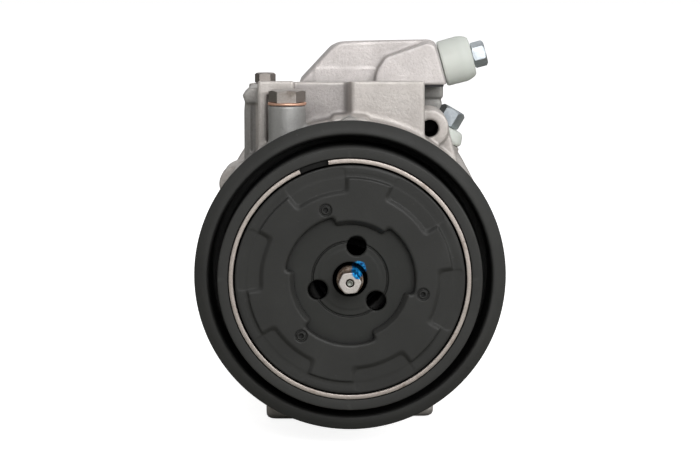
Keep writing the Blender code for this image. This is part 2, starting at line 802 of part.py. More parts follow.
def make_destroke_spring():
    curve = bpy.data.curves.new("coil", "CURVE")
    curve.dimensions = "3D"
    curve.bevel_depth = 1 * MM
    curve.bevel_resolution = 1
    curve.use_fill_caps = True
    spline = curve.splines.new("POLY")
    turns = 4
    steps = 12 * turns
    start = LUG_BACK + 1.6 * MM
    length = PLATE_MIDDLE - PLATE_HALF - 1.6 * MM - start
    spline.points.add(steps)
    for index, point in enumerate(spline.points):
        turn = index / steps
        spot = on_circle(12.4 * MM, 360 * turns * turn, start + length * turn)
        point.co = (*spot, 1)
    obj = bpy.data.objects.new("coil", curve)
    bpy.data.collections["cutters"].objects.link(obj)
    bpy.context.view_layer.update()
    graph = bpy.context.evaluated_depsgraph_get()
    mesh = bpy.data.meshes.new_from_object(obj.evaluated_get(graph))
    bpy.data.objects.remove(obj)
    shape = bmesh.new()
    shape.from_mesh(mesh)
    bmesh.ops.remove_doubles(shape, verts=shape.verts, dist=0.001 * MM)
    piece("destroke_spring", from_bmesh(shape), "spring_steel")


def make_pistons():
    for index, angle in enumerate(PISTON_ANGLES):
        body = turned(
            [
                (PLATE_MIDDLE - JAW_END, 0),
                (PLATE_MIDDLE - JAW_END, PISTON_RADIUS),
                (160 * MM, PISTON_RADIUS),
                (160 * MM, PISTON_RADIUS - 0.7 * MM),
                (162 * MM, PISTON_RADIUS - 0.7 * MM),
                (162 * MM, PISTON_RADIUS),
                (CROWN, PISTON_RADIUS),
                (CROWN, 0),
            ],
            PISTON_STEPS,
        )
        slot_front = PLATE_MIDDLE - SLOT_HALF
        slot_back = PLATE_MIDDLE + SLOT_HALF
        front = slot_front - 10 * MM
        back = slot_back + 4 * MM
        wide = 20 * MM
        cut(
            body,
            box((-wide, slot_front, -wide), (BRIDGE_START, slot_back, wide)),
            box((-wide, front, -wide), (-JAW_INNER, back, wide)),
            box((-wide, front, JAW_HALF), (BRIDGE_START, back, wide)),
            box((-wide, front, -wide), (BRIDGE_START, back, -JAW_HALF)),
            box((-wide, 120 * MM, -wide), (-4 * MM, 142 * MM, wide)),
            ball((0, PLATE_MIDDLE, 0), SHOE_RADIUS + 0.5 * MM),
        )
        body.data.transform(Matrix.Translation((BORE_CIRCLE, 0, 0)))
        body.data.transform(Matrix.Rotation(-math.radians(angle), 4, "Y"))
        piece(f"piston_{index + 1}", body, "cast_aluminium")


def ball(centre, radius):
    shape = bmesh.new()
    bmesh.ops.create_uvsphere(
        shape, u_segments=16, v_segments=8, radius=radius, matrix=Matrix.Translation(centre)
    )
    return from_bmesh(shape)


def make_shoes():
    flat = PLATE_HALF + GAP
    rim = math.asin(SHOE_SHOULDER / SHOE_RADIUS)
    for index, angle in enumerate(PISTON_ANGLES):
        for side, word in ((-1, "front"), (1, "back")):
            outline = [(side * flat, 0), (side * flat, SHOE_FLAT_RADIUS)]
            for step in range(4):
                lean = rim + (math.pi / 2 - rim) * step / 3
                radius = SHOE_RADIUS * math.cos(lean) if step < 3 else 0
                outline.append((side * SHOE_RADIUS * math.sin(lean), radius))
            shoe = turned(outline, COARSE)
            shoe.data.transform(Matrix.Translation(on_circle(BORE_CIRCLE, angle, PLATE_MIDDLE)))
            piece(f"shoe_{index + 1}_{word}", shoe, "brass")


def make_manifold():
    outline = [
        (-22.2, 68.3),
        (-22.2, 69),
        (-7.6, 83.4),
        (-4.2, 85),
        (9, 85.8),
        (28.3, 86.2),
        (33.5, 87),
        (36.8, 85.6),
        (41.6, 68.3),
    ]
    front = [(10.6, 68.3), (11.3, 74), (15, 80.2), (33.3, 86.6), (36.6, 85.2), (41.4, 68.3)]
    body = prism(in_mm(outline), 130 * MM, 163 * MM)
    join(body, prism(in_mm(front), 124 * MM, 140 * MM))
    well = Vector((CHECK_VALVE.x, CHECK_VALVE.y, MANIFOLD_BOTTOM - 0.3 * MM))
    cut(
        body,
        bars([(well, well + Vector((0, 0, 14 * MM)), 6 * MM)]),
        bars([(UPPER_PORT - 14 * MM * UPPER_AIM, UPPER_PORT + MM * UPPER_AIM, 3.3 * MM)]),
    )
    piece("manifold", body, "cast_aluminium")
    gasket_top = MANIFOLD_BOTTOM - GAP
    gasket = box((-21 * MM, 127 * MM, PAD_TOP + GAP), (40.4 * MM, 162 * MM, gasket_top))
    cut(gasket, bars([(well - Vector((0, 0, 2 * MM)), well + Vector((0, 0, 2 * MM)), 6 * MM)]))
    piece("manifold_gasket", gasket, "gasket_fibre")


def aimed(shape, base, aim):
    """Moves a shape made along +Y from the origin to start at base and point along aim."""
    turn = aim.to_track_quat("Y", "Z").to_matrix().to_4x4()
    shape.data.transform(Matrix.Translation(base) @ turn)
    return shape


def make_port_caps():
    for word, base, aim, length, deep in (
        ("upper", UPPER_PORT, UPPER_AIM, 14 * MM, 10 * MM),
        ("lower", LOWER_PORT, LOWER_AIM, 6 * MM, 3.5 * MM),
    ):
        cap = turned(
            [
                (GAP, 3.3 * MM),
                (GAP, 9.8 * MM),
                (0.8 * MM, 10.3 * MM),
                (length - 3 * MM, 10.2 * MM),
                (length, 8.2 * MM),
                (length, 3.3 * MM),
            ],
            MEDIUM,
        )
        piece(f"port_cap_{word}", aimed(cap, base, aim), "cap_plastic")
        under = length + GAP
        head = hexagon((0, under, 0), (0, under + 7.4 * MM, 0), 10 * MM)
        shank = bars([((0, -deep, 0), (0, under + MM, 0), BOLT_RADIUS)], sides=12)
        piece(f"cap_bolt_{word}", aimed(join(head, shank), base, aim), "zinc_steel")


def make_oil_plug():
    x, y, top = OIL_BOSS_TOP
    washer = bars([((x, y, top + GAP), (x, y, top + GAP + MM), 7.8 * MM)], sides=MEDIUM)
    cut(washer, bars([((x, y, top - MM), (x, y, top + 3 * MM), 5.3 * MM)]))
    piece("plug_washer", washer, "copper")
    under = top + GAP + 1.2 * MM
    head = hexagon((x, y, under), (x, y, under + 4.8 * MM), 13 * MM)
    shank = bars([((x, y, top - 12 * MM), (x, y, under + MM), 5 * MM)])
    piece("oil_plug", join(head, shank), "ground_steel")


def make_top_bolt():
    x = TOP_BOLT_X
    y = 127 * MM
    under = TOP_BOLT_SEAT + GAP
    head = hexagon((x, y, under), (x, y, under + 4.5 * MM), 8 * MM)
    shank = bars([((x, y, 53 * MM), (x, y, under + MM), BOLT_RADIUS)], sides=12)
    piece("top_bolt", join(head, shank), "ground_steel")


def shifted(shape, spot):
    shape.data.transform(Matrix.Translation(spot))
    return shape


def make_valves():
    body = turned(
        in_mm([(206, 3.3), (206, 8), (222.3, 8), (222.3, 9.5), (226, 9.5), (226, 0), (220, 0), (220, 3.3)]),
        MEDIUM,
    )
    piece("control_valve_body", shifted(body, CONTROL_SPOT), "ground_steel")
    spool = turned(
        in_mm([(207, 0), (207, 3), (210, 3), (210, 2), (213, 2), (213, 3), (216, 3), (216, 0)]),
        COARSE,
    )
    piece("control_valve_spool", shifted(spool, CONTROL_SPOT), "brass")
    head = hexagon((0, 218.3 * MM, 0), (0, 223 * MM, 0), 14 * MM)
    thread = rod(199 * MM, 219 * MM, 5 * MM, COARSE)
    vent = in_mm([(198, 0), (198, 2.6), (214, 2.6), (215, 1), (224, 1), (224, 0)])
    relief = cut(join(head, thread), turned(vent, COARSE))
    piece("relief_valve_body", shifted(relief, RELIEF_SPOT), "brass")
    poppet = turned(in_mm([(202, 0), (202, 2.3), (210, 2.3), (211, 1.2), (211, 0)]), COARSE)
    piece("relief_valve_poppet", shifted(poppet, RELIEF_SPOT), "ground_steel")
    low = CHECK_VALVE
    disc = bars([(low, low + Vector((0, 0, 5 * MM)), 5.6 * MM)])
    piece("check_valve", disc, "cap_plastic")


def main():
    clear_scene()
    make_collections()
    for name, values in MATERIALS.items():
        make_material(name, *values)
    make_drive_shaft()
    make_drive_hub()
    make_cover_plate()
    make_damper_ring()
    make_cover_snap_ring()
    make_pulley()
    make_bearing_rings()
    make_ball_cage()
    make_shaft_seal()
    make_needle_bearings()
    make_thrust_cage()
    make_front_housing()
    make_cylinder_block()
    make_rear_housing()
    make_flat_plates()
    make_through_bolts()
    make_lug_plate()
    make_swash_plate()
    make_destroke_spring()
    make_pistons()
    make_shoes()
    make_manifold()
    make_port_caps()
    make_oil_plug()
    make_top_bolt()
    make_valves()
    bpy.data.collections.remove(bpy.data.collections["cutters"])


main()
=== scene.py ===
"""The looks of the compressor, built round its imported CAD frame."""

import json
import math
from functools import reduce

import bmesh
import bpy
import numpy as np
import openvdb
from mathutils import Matrix, Vector

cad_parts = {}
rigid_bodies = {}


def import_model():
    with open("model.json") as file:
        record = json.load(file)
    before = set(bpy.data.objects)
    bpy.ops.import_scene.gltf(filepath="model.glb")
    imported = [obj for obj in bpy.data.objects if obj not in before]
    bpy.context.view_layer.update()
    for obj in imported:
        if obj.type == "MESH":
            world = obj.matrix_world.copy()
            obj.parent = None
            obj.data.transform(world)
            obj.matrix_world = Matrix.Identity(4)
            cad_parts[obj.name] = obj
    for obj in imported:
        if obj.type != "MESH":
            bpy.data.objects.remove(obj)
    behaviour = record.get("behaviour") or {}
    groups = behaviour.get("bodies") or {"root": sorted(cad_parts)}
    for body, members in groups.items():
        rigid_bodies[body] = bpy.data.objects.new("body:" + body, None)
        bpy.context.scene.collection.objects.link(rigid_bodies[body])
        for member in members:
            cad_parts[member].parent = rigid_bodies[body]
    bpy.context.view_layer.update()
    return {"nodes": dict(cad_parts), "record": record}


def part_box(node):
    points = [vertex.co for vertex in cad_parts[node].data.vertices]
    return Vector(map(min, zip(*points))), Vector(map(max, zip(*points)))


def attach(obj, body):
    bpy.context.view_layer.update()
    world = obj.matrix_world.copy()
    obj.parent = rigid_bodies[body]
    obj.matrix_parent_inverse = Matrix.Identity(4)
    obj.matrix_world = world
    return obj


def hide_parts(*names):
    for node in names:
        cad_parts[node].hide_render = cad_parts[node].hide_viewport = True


MM = 0.001
TAU = 2 * math.pi
FAR = 1e3
CRISP = 0.01

for leftover in list(bpy.data.objects):
    bpy.data.objects.remove(leftover)
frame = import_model()
SLOTS = {part["node"]: part["material_slot"] for part in frame["record"]["subparts"]}


# ------ solids from distance fields


def soft_min(a, b, blend):
    """The nearer of two distances, rounded where they cross."""
    h = np.maximum(blend - np.abs(a - b), 0) / blend
    return np.minimum(a, b) - h * h * blend * 0.25


def soft_max(a, b, blend):
    return -soft_min(-a, -b, blend)


def outside(axis, start, end):
    """Distance beyond a span along an axis; negative inside it."""
    return np.maximum(start - axis, axis - end)


class Casting:
    """A solid kept as signed distances, in millimetres, on a regular grid."""

    def __init__(self, low, high, step):
        self.low = np.array(low, np.float32)
        self.step = step
        counts = [int(math.ceil((end - start) / step)) + 1 for start, end in zip(low, high)]
        axes = [
            np.float32(start) + np.float32(step) * np.arange(count, dtype=np.float32)
            for start, count in zip(low, counts)
        ]
        self.x, self.y, self.z = np.meshgrid(*axes, indexing="ij", sparse=True)
        self.field = np.full(counts, FAR, np.float32)

    def slab(self, low, high, blend):
        """A box with rounded edges."""
        spans = zip((self.x, self.y, self.z), low, high)
        x, y, z = (outside(axis, start, end) for axis, start, end in spans)
        return soft_max(soft_max(x, y, blend), z, blend)

    def drum(self, x, z, radius, start, end, blend):
        """A round bar along Y with rounded rims."""
        wall = np.hypot(self.x - x, self.z - z) - radius
        return soft_max(wall, outside(self.y, start, end), blend)

    def post(self, x, y, radius, start, end, blend):
        """A round bar along Z with rounded rims."""
        wall = np.hypot(self.x - x, self.y - y) - radius
        return soft_max(wall, outside(self.z, start, end), blend)

    def bar(self, base, aim, radius, start, end, blend):
        """A round bar along any direction."""
        dx, dy, dz = self.x - base[0], self.y - base[1], self.z - base[2]
        along = dx * aim[0] + dy * aim[1] + dz * aim[2]
        wall = np.sqrt(np.maximum(dx * dx + dy * dy + dz * dz - along * along, 0)) - radius
        return soft_max(wall, outside(along, start, end), blend)

    def turned(self, ys, radii, start, end, blend):
        """A solid turned about the shaft whose radius follows ys and radii."""
        limit = np.interp(self.y[0, :, 0], ys, radii).astype(np.float32)[None, :, None]
        wall = np.hypot(self.x, self.z) - limit
        return soft_max(wall, outside(self.y, start, end), blend)

    def plank(self, outline, start, end, blend, flat_blend=None):
        """A convex outline of (x, z) points, clockwise, given thickness along Y."""
        wall = None
        for (x0, z0), (x1, z1) in zip(outline, outline[1:] + outline[:1]):
            length = math.hypot(x1 - x0, z1 - z0)
            side = ((x0 - self.x) * (z1 - z0) + (self.z - z0) * (x1 - x0)) / length
            wall = side if wall is None else soft_max(wall, side, blend)
        ends = outside(self.y, start, end)
        return soft_max(wall, ends, flat_blend or blend)

    def half(self, point, normal):
        """Distance outside a plane through a point; normal points outward."""
        near, out = np.array(point, float), np.array(normal, float)
        out = out / np.linalg.norm(out)
        sides = zip((self.x, self.y, self.z), near, out)
        return sum((v - p) * n for v, p, n in sides)

    def add(self, shape, blend=CRISP):
        self.field = soft_min(self.field, shape, blend).astype(np.float32)

    def cut(self, shape, blend=CRISP):
        self.field = soft_max(self.field, -shape, blend).astype(np.float32)

    def piece(self, name, body, node, material):
        """Meshes the solid's surface and hands it over as a finished piece."""
        grid = openvdb.FloatGrid(FAR)
        grid.copyFromArray(self.field)
        points, triangles, quads = grid.convertToPolygons(isovalue=0.0, adaptivity=0.0)
        points = (points * self.step + self.low) * MM
        mesh = bpy.data.meshes.new(name)
        faces = quads[:, ::-1].tolist() + triangles[:, ::-1].tolist()
        mesh.from_pydata(points.tolist(), [], faces)
        finished(name, mesh, body, node, material)


def finished(name, mesh, body, node, material, sharp=None, added=False):
    """
    Links a mesh as a piece that rides on a body and stands for a node of the frame.
    An added piece leaves the node's own stand-in to another piece.
    """
    mesh.validate()
    mesh.shade_smooth()
    if sharp:
        mesh.set_sharp_from_angle(angle=math.radians(sharp))
    mesh.materials.clear()
    mesh.materials.append(material)
    obj = bpy.data.objects.new(name, mesh)
    bpy.context.scene.collection.objects.link(obj)
    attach(obj, body)
    if not added:
        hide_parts(node)


# ------ turned and drawn solids


def lathe_mesh(name, outline, segments=192, span=TAU, start=0.0):
    """Turns a closed outline of (y, radius) points, in millimetres, about the Y axis."""
    shape = bmesh.new()
    closed = span == TAU
    rings = segments if closed else segments + 1
    grid = []
    for step in range(rings):
        angle = start + span * step / segments
        c, s = math.cos(angle) * MM, math.sin(angle) * MM
        grid.append([shape.verts.new((r * c, y * MM, r * s)) for y, r in outline])
    count = len(outline)
    for step in range(segments):
        near, far = grid[step], grid[(step + 1) % rings]
        for i in range(count):
            j = (i + 1) % count
            shape.faces.new((near[i], near[j], far[j], far[i]))
    if not closed:
        shape.faces.new(grid[0])
        shape.faces.new(grid[-1][::-1])
    bmesh.ops.remove_doubles(shape, verts=shape.verts, dist=1e-7)
    bmesh.ops.recalc_face_normals(shape, faces=shape.faces)
    return mesh_from(shape, name)


def mesh_from(shape, name):
    mesh = bpy.data.meshes.new(name)
    shape.to_mesh(mesh)
    shape.free()
    return mesh


def rounded(outline, radius, steps=3, longest=0.45):
    """
    Rounds the corners of a closed (y, radius) outline. A third number sets a corner's own.
    A round takes no more than the longest share of the edges beside it.
    """
    result = []
    count = len(outline)
    for index in range(count):
        before = Vector(outline[index - 1][:2])
        here = Vector(outline[index][:2])
        after = Vector(outline[(index + 1) % count][:2])
        size = outline[index][2] if len(outline[index]) > 2 else radius
        reach = min(size, (before - here).length * longest, (after - here).length * longest)
        first = here + (before - here).normalized() * reach
        last = here + (after - here).normalized() * reach
        for step in range(steps + 1):
            t = step / steps
            point = first * (1 - t) ** 2 + here * 2 * t * (1 - t) + last * t * t
            result.append(tuple(point))
    return result


# ------ materials

ALUMINIUM = (0.64, 0.6, 0.57)
# Black for painted shadow in slots and bores.
SHADOW_BLACK = (0.0005, 0.0005, 0.0005)
COAT_GLOSS = 0.3
PAINT_MIDDLE = (3.5, 4.3)


class Surface:
    """A Principled material with procedural colour, roughness and bump from object coordinates."""

    def __init__(self, name, metallic=0.0):
        self.material = bpy.data.materials.new(name)
        self.material.use_nodes = True
        self.nodes = self.material.node_tree.nodes
        self.links = self.material.node_tree.links
        self.shader = self.nodes["Principled BSDF"]
        self.shader.inputs["Metallic"].default_value = metallic
        self.place = self.nodes.new("ShaderNodeTexCoord").outputs["Object"]
        split = self.nodes.new("ShaderNodeSeparateXYZ")
        self.links.new(self.place, split.inputs["Vector"])
        self.axes = split.outputs
        self.normal = None

    def noise(self, size, detail, rough, stretch=(1, 1, 1)):
        """Noise whose features are about size metres across."""
        mapping = self.nodes.new("ShaderNodeMapping")
        mapping.inputs["Scale"].default_value = tuple(s / size for s in stretch)
        self.links.new(self.place, mapping.inputs["Vector"])
        texture = self.nodes.new("ShaderNodeTexNoise")
        texture.inputs["Scale"].default_value = 1.0
        texture.inputs["Detail"].default_value = detail
        texture.inputs["Roughness"].default_value = rough
        self.links.new(mapping.outputs["Vector"], texture.inputs["Vector"])
        return texture.outputs["Fac"]

    def edges(self, low, high):
        """About 0 on flats and in hollows, rising to 1 on convex edges."""
        geometry = self.nodes.new("ShaderNodeNewGeometry")
        return self.fit(geometry.outputs["Pointiness"], low, high, 0, 1)

    def fit(self, value, low, high, to_low, to_high):
        """Maps low..high to to_low..to_high, and holds the ends beyond them."""
        node = self.nodes.new("ShaderNodeMapRange")
        ends = {"From Min": low, "From Max": high, "To Min": to_low, "To Max": to_high}
        for name, end in ends.items():
            node.inputs[name].default_value = end
        self.links.new(value, node.inputs["Value"])
        return node.outputs["Result"]

    def feed(self, socket, value):
        """Sets a socket to a number or a colour, or links another socket to it."""
        if isinstance(value, tuple):
            socket.default_value = (*value, 1)
        elif isinstance(value, (int, float)):
            socket.default_value = value
        else:
            self.links.new(value, socket)

    def math(self, kind, first, second):
        """One step of arithmetic on sockets or numbers."""
        node = self.nodes.new("ShaderNodeMath")
        node.operation = kind
        for socket, value in zip(node.inputs, (first, second)):
            self.feed(socket, value)
        return node.outputs["Value"]

    def within(self, axis, low, high, fade):
        """1 where a coordinate lies between low and high millimetres, 0 outside."""
        place = self.axes[axis]
        rise = self.fit(place, (low - fade) * MM, low * MM, 0, 1)
        fall = self.fit(place, high * MM, (high + fade) * MM, 1, 0)
        return self.math("MULTIPLY", rise, fall)

    def radius(self, x=0.0, z=0.0):
        """Distance in metres from a line along Y at x, z in millimetres."""
        across = self.math("SUBTRACT", self.axes["X"], x * MM)
        up = self.math("SUBTRACT", self.axes["Z"], z * MM)
        square = self.math("ADD", self.math("POWER", across, 2), self.math("POWER", up, 2))
        return self.math("SQRT", square, 0)

    def ramp(self, value, stops):
        """Colours along value; stops are (position, (r, g, b))."""
        node = self.nodes.new("ShaderNodeValToRGB")
        elements = node.color_ramp.elements
        while len(elements) < len(stops):
            elements.new(0.5)
        for element, (position, colour) in zip(elements, stops):
            element.position = position
            element.color = (*colour, 1)
        self.links.new(value, node.inputs["Fac"])
        return node.outputs["Color"]

    def mix(self, kind, amount, first, second):
        """Mixes two colours; amount is a socket or a number."""
        node = self.nodes.new("ShaderNodeMix")
        node.data_type = "RGBA"
        node.blend_type = kind
        for name, value in (("Factor", amount), ("A", first), ("B", second)):
            self.feed(node.inputs[name], value)
        return node.outputs["Result"]

    def zone(self, colour, tint, *spans):
        """Tints a colour where each axis lies between two values, as (axis, low, high, fade)."""
        masks = [self.within(*span) for span in spans]
        mask = reduce(lambda one, other: self.math("MULTIPLY", one, other), masks)
        return self.mix("MULTIPLY", mask, colour, tint)

    def painted_hollow_shade(self, colour, reach, share):
        """Darkens a colour with painted shade where the surface faces a nearby hollow."""
        node = self.nodes.new("ShaderNodeAmbientOcclusion")
        node.inputs["Distance"].default_value = reach
        node.samples = 6
        shadow = self.fit(node.outputs["AO"], 0.25, 0.85, 1 - share, 1)
        grey = self.nodes.new("ShaderNodeCombineColor")
        for channel in ("Red", "Green", "Blue"):
            self.links.new(shadow, grey.inputs[channel])
        return self.mix("MULTIPLY", 1.0, colour, grey.outputs["Color"])

    def paint(self, colour):
        self.links.new(colour, self.shader.inputs["Base Color"])

    def rough(self, value, low, high):
        self.links.new(self.fit(value, 0.3, 0.7, low, high), self.shader.inputs["Roughness"])

    def bump(self, value, height):
        """Adds relief of a height in metres, on top of any relief given before."""
        node = self.nodes.new("ShaderNodeBump")
        node.inputs["Distance"].default_value = height
        self.links.new(value, node.inputs["Height"])
        if self.normal is not None:
            self.links.new(self.normal, node.inputs["Normal"])
        self.normal = node.outputs["Normal"]
        self.links.new(self.normal, self.shader.inputs["Normal"])


WHITE, BLACK = (1, 1, 1), (0, 0, 0)


def shade(colour, factor):
    return tuple(c * factor for c in colour)


def cast_metal(name, colour, painted_shade_zones=()):
    """
    Die-cast aluminium: orange-peel grain, fine pits, faint stains, painted shade in hollows and a
    painted highlight on convex edges.
    Each zone is a painted shade tint and the spans that bound it, as Surface.zone takes them.
    """
    s = Surface(name, metallic=0.55)
    stains = s.noise(0.03, 5, 0.6)
    base = s.ramp(stains, [(0.3, shade(colour, 0.82)), (0.55, colour), (0.75, shade(colour, 1.1))])
    speckle = s.noise(0.0011, 3, 0.7)
    pitted = s.ramp(speckle, [(0.3, (0.62, 0.6, 0.58)), (0.47, (0.95, 0.95, 0.95)), (1, WHITE)])
    base = s.mix("MULTIPLY", 0.4, base, pitted)
    # Painted highlight: convex edges are lightened towards pale grey.
    base = s.mix("MIX", s.fit(s.edges(0.52, 0.62), 0, 1, 0, 0.3), base, (0.78, 0.74, 0.71))
    # Painted shade in each zone.
    for tint, *spans in painted_shade_zones:
        base = s.zone(base, tint, *spans)
    # Painted shade where the surface faces a nearby hollow.
    s.paint(s.painted_hollow_shade(base, 0.014, 0.55))
    s.rough(s.noise(0.006, 4, 0.6), 0.44, 0.64)
    s.bump(s.noise(0.0045, 3, 0.5), 0.0001)
    s.bump(s.noise(0.0011, 4, 0.65), 0.00013)
    return s.material


def black_coat(name, colour, rough_low, rough_high, shade_mask=None, paint=False):
    """
    Thin black coating on steel, with faint dust, fine grain, painted shade in hollows and a painted
    highlight on convex edges.
    Where the given shade mask is 1, painted shadow makes it as black as a deep slot, with no
    reflection.
    """
    s = Surface(name, metallic=0.1)
    cloud = s.noise(0.022, 5, 0.55)
    base = s.ramp(cloud, [(0.3, shade(colour, 0.85)), (0.6, colour), (0.8, shade(colour, 1.18))])
    dust = s.ramp(s.noise(0.0016, 2, 0.5), [(0.0, BLACK), (0.7, BLACK), (0.78, WHITE)])
    base = s.mix("ADD", 0.012, base, dust)
    # Painted highlight: convex edges are lightened.
    base = s.mix("MIX", s.fit(s.edges(0.53, 0.66), 0, 1, 0, 0.3), base, shade(colour, 2.6))
    s.shader.inputs["Specular IOR Level"].default_value = COAT_GLOSS
    # Painted shadow: black with no reflection where the shade mask is 1.
    if shade_mask:
        lit = s.math("SUBTRACT", 1, shade_mask(s))
        base = s.mix("MIX", lit, SHADOW_BLACK, base)
        s.links.new(s.fit(lit, 0, 1, 0, COAT_GLOSS), s.shader.inputs["Specular IOR Level"])
    if paint:
        base = paint_mark(s, base)
    # Painted shade where the surface faces a nearby hollow.
    s.paint(s.painted_hollow_shade(base, 0.009, 0.85))
    s.rough(s.noise(0.01, 4, 0.6), rough_low, rough_high)
    s.bump(s.noise(0.0008, 3, 0.6), 0.00003)
    return s.material


def paint_mark(s, base):
    """A brushed dab of blue inspection paint over the upper right of the shaft's nose."""
    ragged = s.math("MULTIPLY", s.noise(0.0018, 3, 0.6), 0.0016)
    reach = s.math("ADD", s.radius(*PAINT_MIDDLE), ragged)
    streaks = s.ramp(
        s.noise(0.0011, 2, 0.5),
        [(0.35, (0.0, 0.03, 0.12)), (0.5, (0.0, 0.19, 0.5)), (0.65, (0.03, 0.36, 0.7))],
    )
    return s.mix("MIX", s.fit(reach, 0.0034, 0.0039, 1, 0), base, streaks)


def nose_metal():
    """The shaft's nose: bright ground end, brown stained flanks and thread, a paint mark, and painted
    shade in the centre mark's ring groove and in hollows.
    """
    s = Surface("nose_steel", metallic=0.85)
    grain = s.noise(0.0005, 4, 0.7)
    end = s.ramp(
        grain, [(0.3, (0.5, 0.46, 0.43)), (0.6, ALUMINIUM), (0.8, (0.72, 0.68, 0.64))]
    )
    rust = s.ramp(
        s.noise(0.0016, 4, 0.6),
        [(0.3, (0.09, 0.06, 0.04)), (0.5, (0.28, 0.2, 0.15)), (0.7, (0.55, 0.47, 0.4))],
    )
    base = s.mix("MIX", s.fit(s.axes["Y"], 0.00025, 0.0007, 0, 1), end, rust)
    beyond_mark = s.fit(s.radius(), 0.00105, 0.0012, 0, 1)
    base = s.mix("MIX", beyond_mark, (0.3, 0.31, 0.28), base)
    # Painted shade in the groove of the turned ring round the centre mark.
    ring = s.math("MULTIPLY", beyond_mark, s.fit(s.radius(), 0.0015, 0.0017, 1, 0))
    base = s.mix("MIX", ring, base, (0.045, 0.033, 0.026))
    base = paint_mark(s, base)
    # Painted shade where the surface faces a nearby hollow.
    s.paint(s.painted_hollow_shade(base, 0.004, 0.8))
    s.rough(grain, 0.42, 0.6)
    s.bump(grain, 0.00002)
    return s.material


def bare_steel(name, colour, rough, size, stretch, stain=None, stain_share=None):
    """Machined or stamped steel with scratches of a size and, if stain is given, patches of it."""
    s = Surface(name, metallic=1.0)
    scratches = s.noise(size, 4, 0.7, stretch)
    dull, bright = shade(colour, 0.82), shade(colour, 1.08)
    base = s.ramp(scratches, [(0.3, dull), (0.6, colour), (0.8, bright)])
    if stain:
        patches = s.fit(s.noise(0.009, 6, 0.65), stain_share, stain_share + 0.14, 0, 0.75)
        base = s.mix("MIX", patches, base, stain)
    s.paint(base)
    s.rough(s.noise(0.004, 4, 0.6, stretch), rough, rough + 0.16)
    s.bump(scratches, 0.00001)
    return s.material


def moulded_plastic(name, colour, milky=0.0, rough=0.35):
    """Moulded plastic with faint flow marks; milky lets light through."""
    s = Surface(name)
    flow = s.noise(0.012, 3, 0.5)
    s.paint(s.ramp(flow, [(0.3, shade(colour, 0.94)), (0.7, colour)]))
    s.shader.inputs["Subsurface Weight"].default_value = milky
    s.shader.inputs["Subsurface Radius"].default_value = (4 * MM, 5 * MM, 4 * MM)
    s.shader.inputs["Subsurface Scale"].default_value = 1.0
    s.rough(s.noise(0.003, 4, 0.5), rough, rough + 0.15)
    s.bump(s.noise(0.0009, 2, 0.5), 0.000015)
    return s.material


def soft_rubber(name, colour):
    """Dull rubber or fibre, unevenly faded."""
    s = Surface(name)
    s.paint(s.ramp(s.noise(0.008, 4, 0.6), [(0.3, shade(colour, 0.7)), (0.7, shade(colour, 1.3))]))
    s.rough(s.noise(0.004, 4, 0.6), 0.65, 0.85)
    s.bump(s.noise(0.0007, 3, 0.6), 0.00003)
    return s.material


def ring_slot_shade(s):
    """Painted shadow for the slot behind the retaining ring, where light hardly reaches."""
    inside = s.fit(s.radius(), 0.04735, 0.0475, 1, 0)
    return s.math("MULTIPLY", inside, s.fit(s.axes["Y"], 0.0112, 0.0116, 0, 1))


def hub_bore_shade(s):
    """Painted shadow in the depths of the hub's vents, and painted shade on the ring round the shaft's
    nose.
    """
    deep = s.fit(s.axes["Y"], 0.0122, 0.0126, 0, 1)
    ring = s.fit(s.radius(), 0.0064, 0.0069, 0.6, 0)
    return s.math("MAXIMUM", deep, ring)


# Tints for painted shade on the castings, each with its spans: painted shade inside the nose, on the
# left column and its cap, in the recessed left part of the top block, on the plug's boss and on the
# block's stepped column, and painted shadow in the ear's hole.
NOSE_INSIDE_SHADE = ((0.03, 0.03, 0.03), ("Y", 10, 46.5, 0.5))
COLUMN_SHADE = ((0.6, 0.62, 0.63), ("X", -60, -39.6, 0.5), ("Y", 88, 120, 1), ("Z", 40, 61, 4))
COLUMN_CAP_SHADE = ((0.8, 0.82, 0.83), ("X", -60, -38.8, 0.6), ("Y", 88, 120, 1), ("Z", 63, 80, 0.6))
EAR_HOLE_SHADE = ((0.01, 0.01, 0.01), ("X", 29, 37.5, 0.1), ("Y", 91, 117, 0.5), ("Z", 48, 56.5, 0.1))
RECESS_SHADE = ((0.8, 0.8, 0.82), ("X", -22.5, -1.6, 1.0), ("Y", 71, 96, 0.8), ("Z", 57, 71.2, 1.0))
PLUG_BOSS_SHADE = ((0.74, 0.78, 0.8), ("X", -34, -17, 0.4), ("Y", 40, 67.4, 0.6), ("Z", 47, 90, 4))
STEP_COLUMN_SHADE = ((0.8, 0.83, 0.84), ("X", 30.2, 60, 0.5), ("Y", 140, 170, 0.5), ("Z", 50, 80, 0.5))
EVEN = (1, 1, 1)

CAST = cast_metal("cast_aluminium", ALUMINIUM)
# Copies of the cast aluminium with painted shade zones, for the front housing and for the cylinder
# block.
CAST_FRONT_SHADED = cast_metal(
    "cast_aluminium_front_shaded",
    ALUMINIUM,
    (NOSE_INSIDE_SHADE, COLUMN_SHADE, COLUMN_CAP_SHADE, EAR_HOLE_SHADE, RECESS_SHADE, PLUG_BOSS_SHADE),
)
CAST_BLOCK_SHADED = cast_metal("cast_aluminium_block_shaded", ALUMINIUM, (STEP_COLUMN_SHADE,))
CAST_PALE = cast_metal("cast_aluminium_pale", (0.69, 0.65, 0.635))
# The rim's finish has painted shadow in the retaining ring's slot.
RIM_BLACK = black_coat("rim_black", (0.039, 0.039, 0.0372), 0.55, 0.7, ring_slot_shade)
COVER_BLACK = black_coat("cover_black", (0.032, 0.032, 0.0305), 0.44, 0.56)
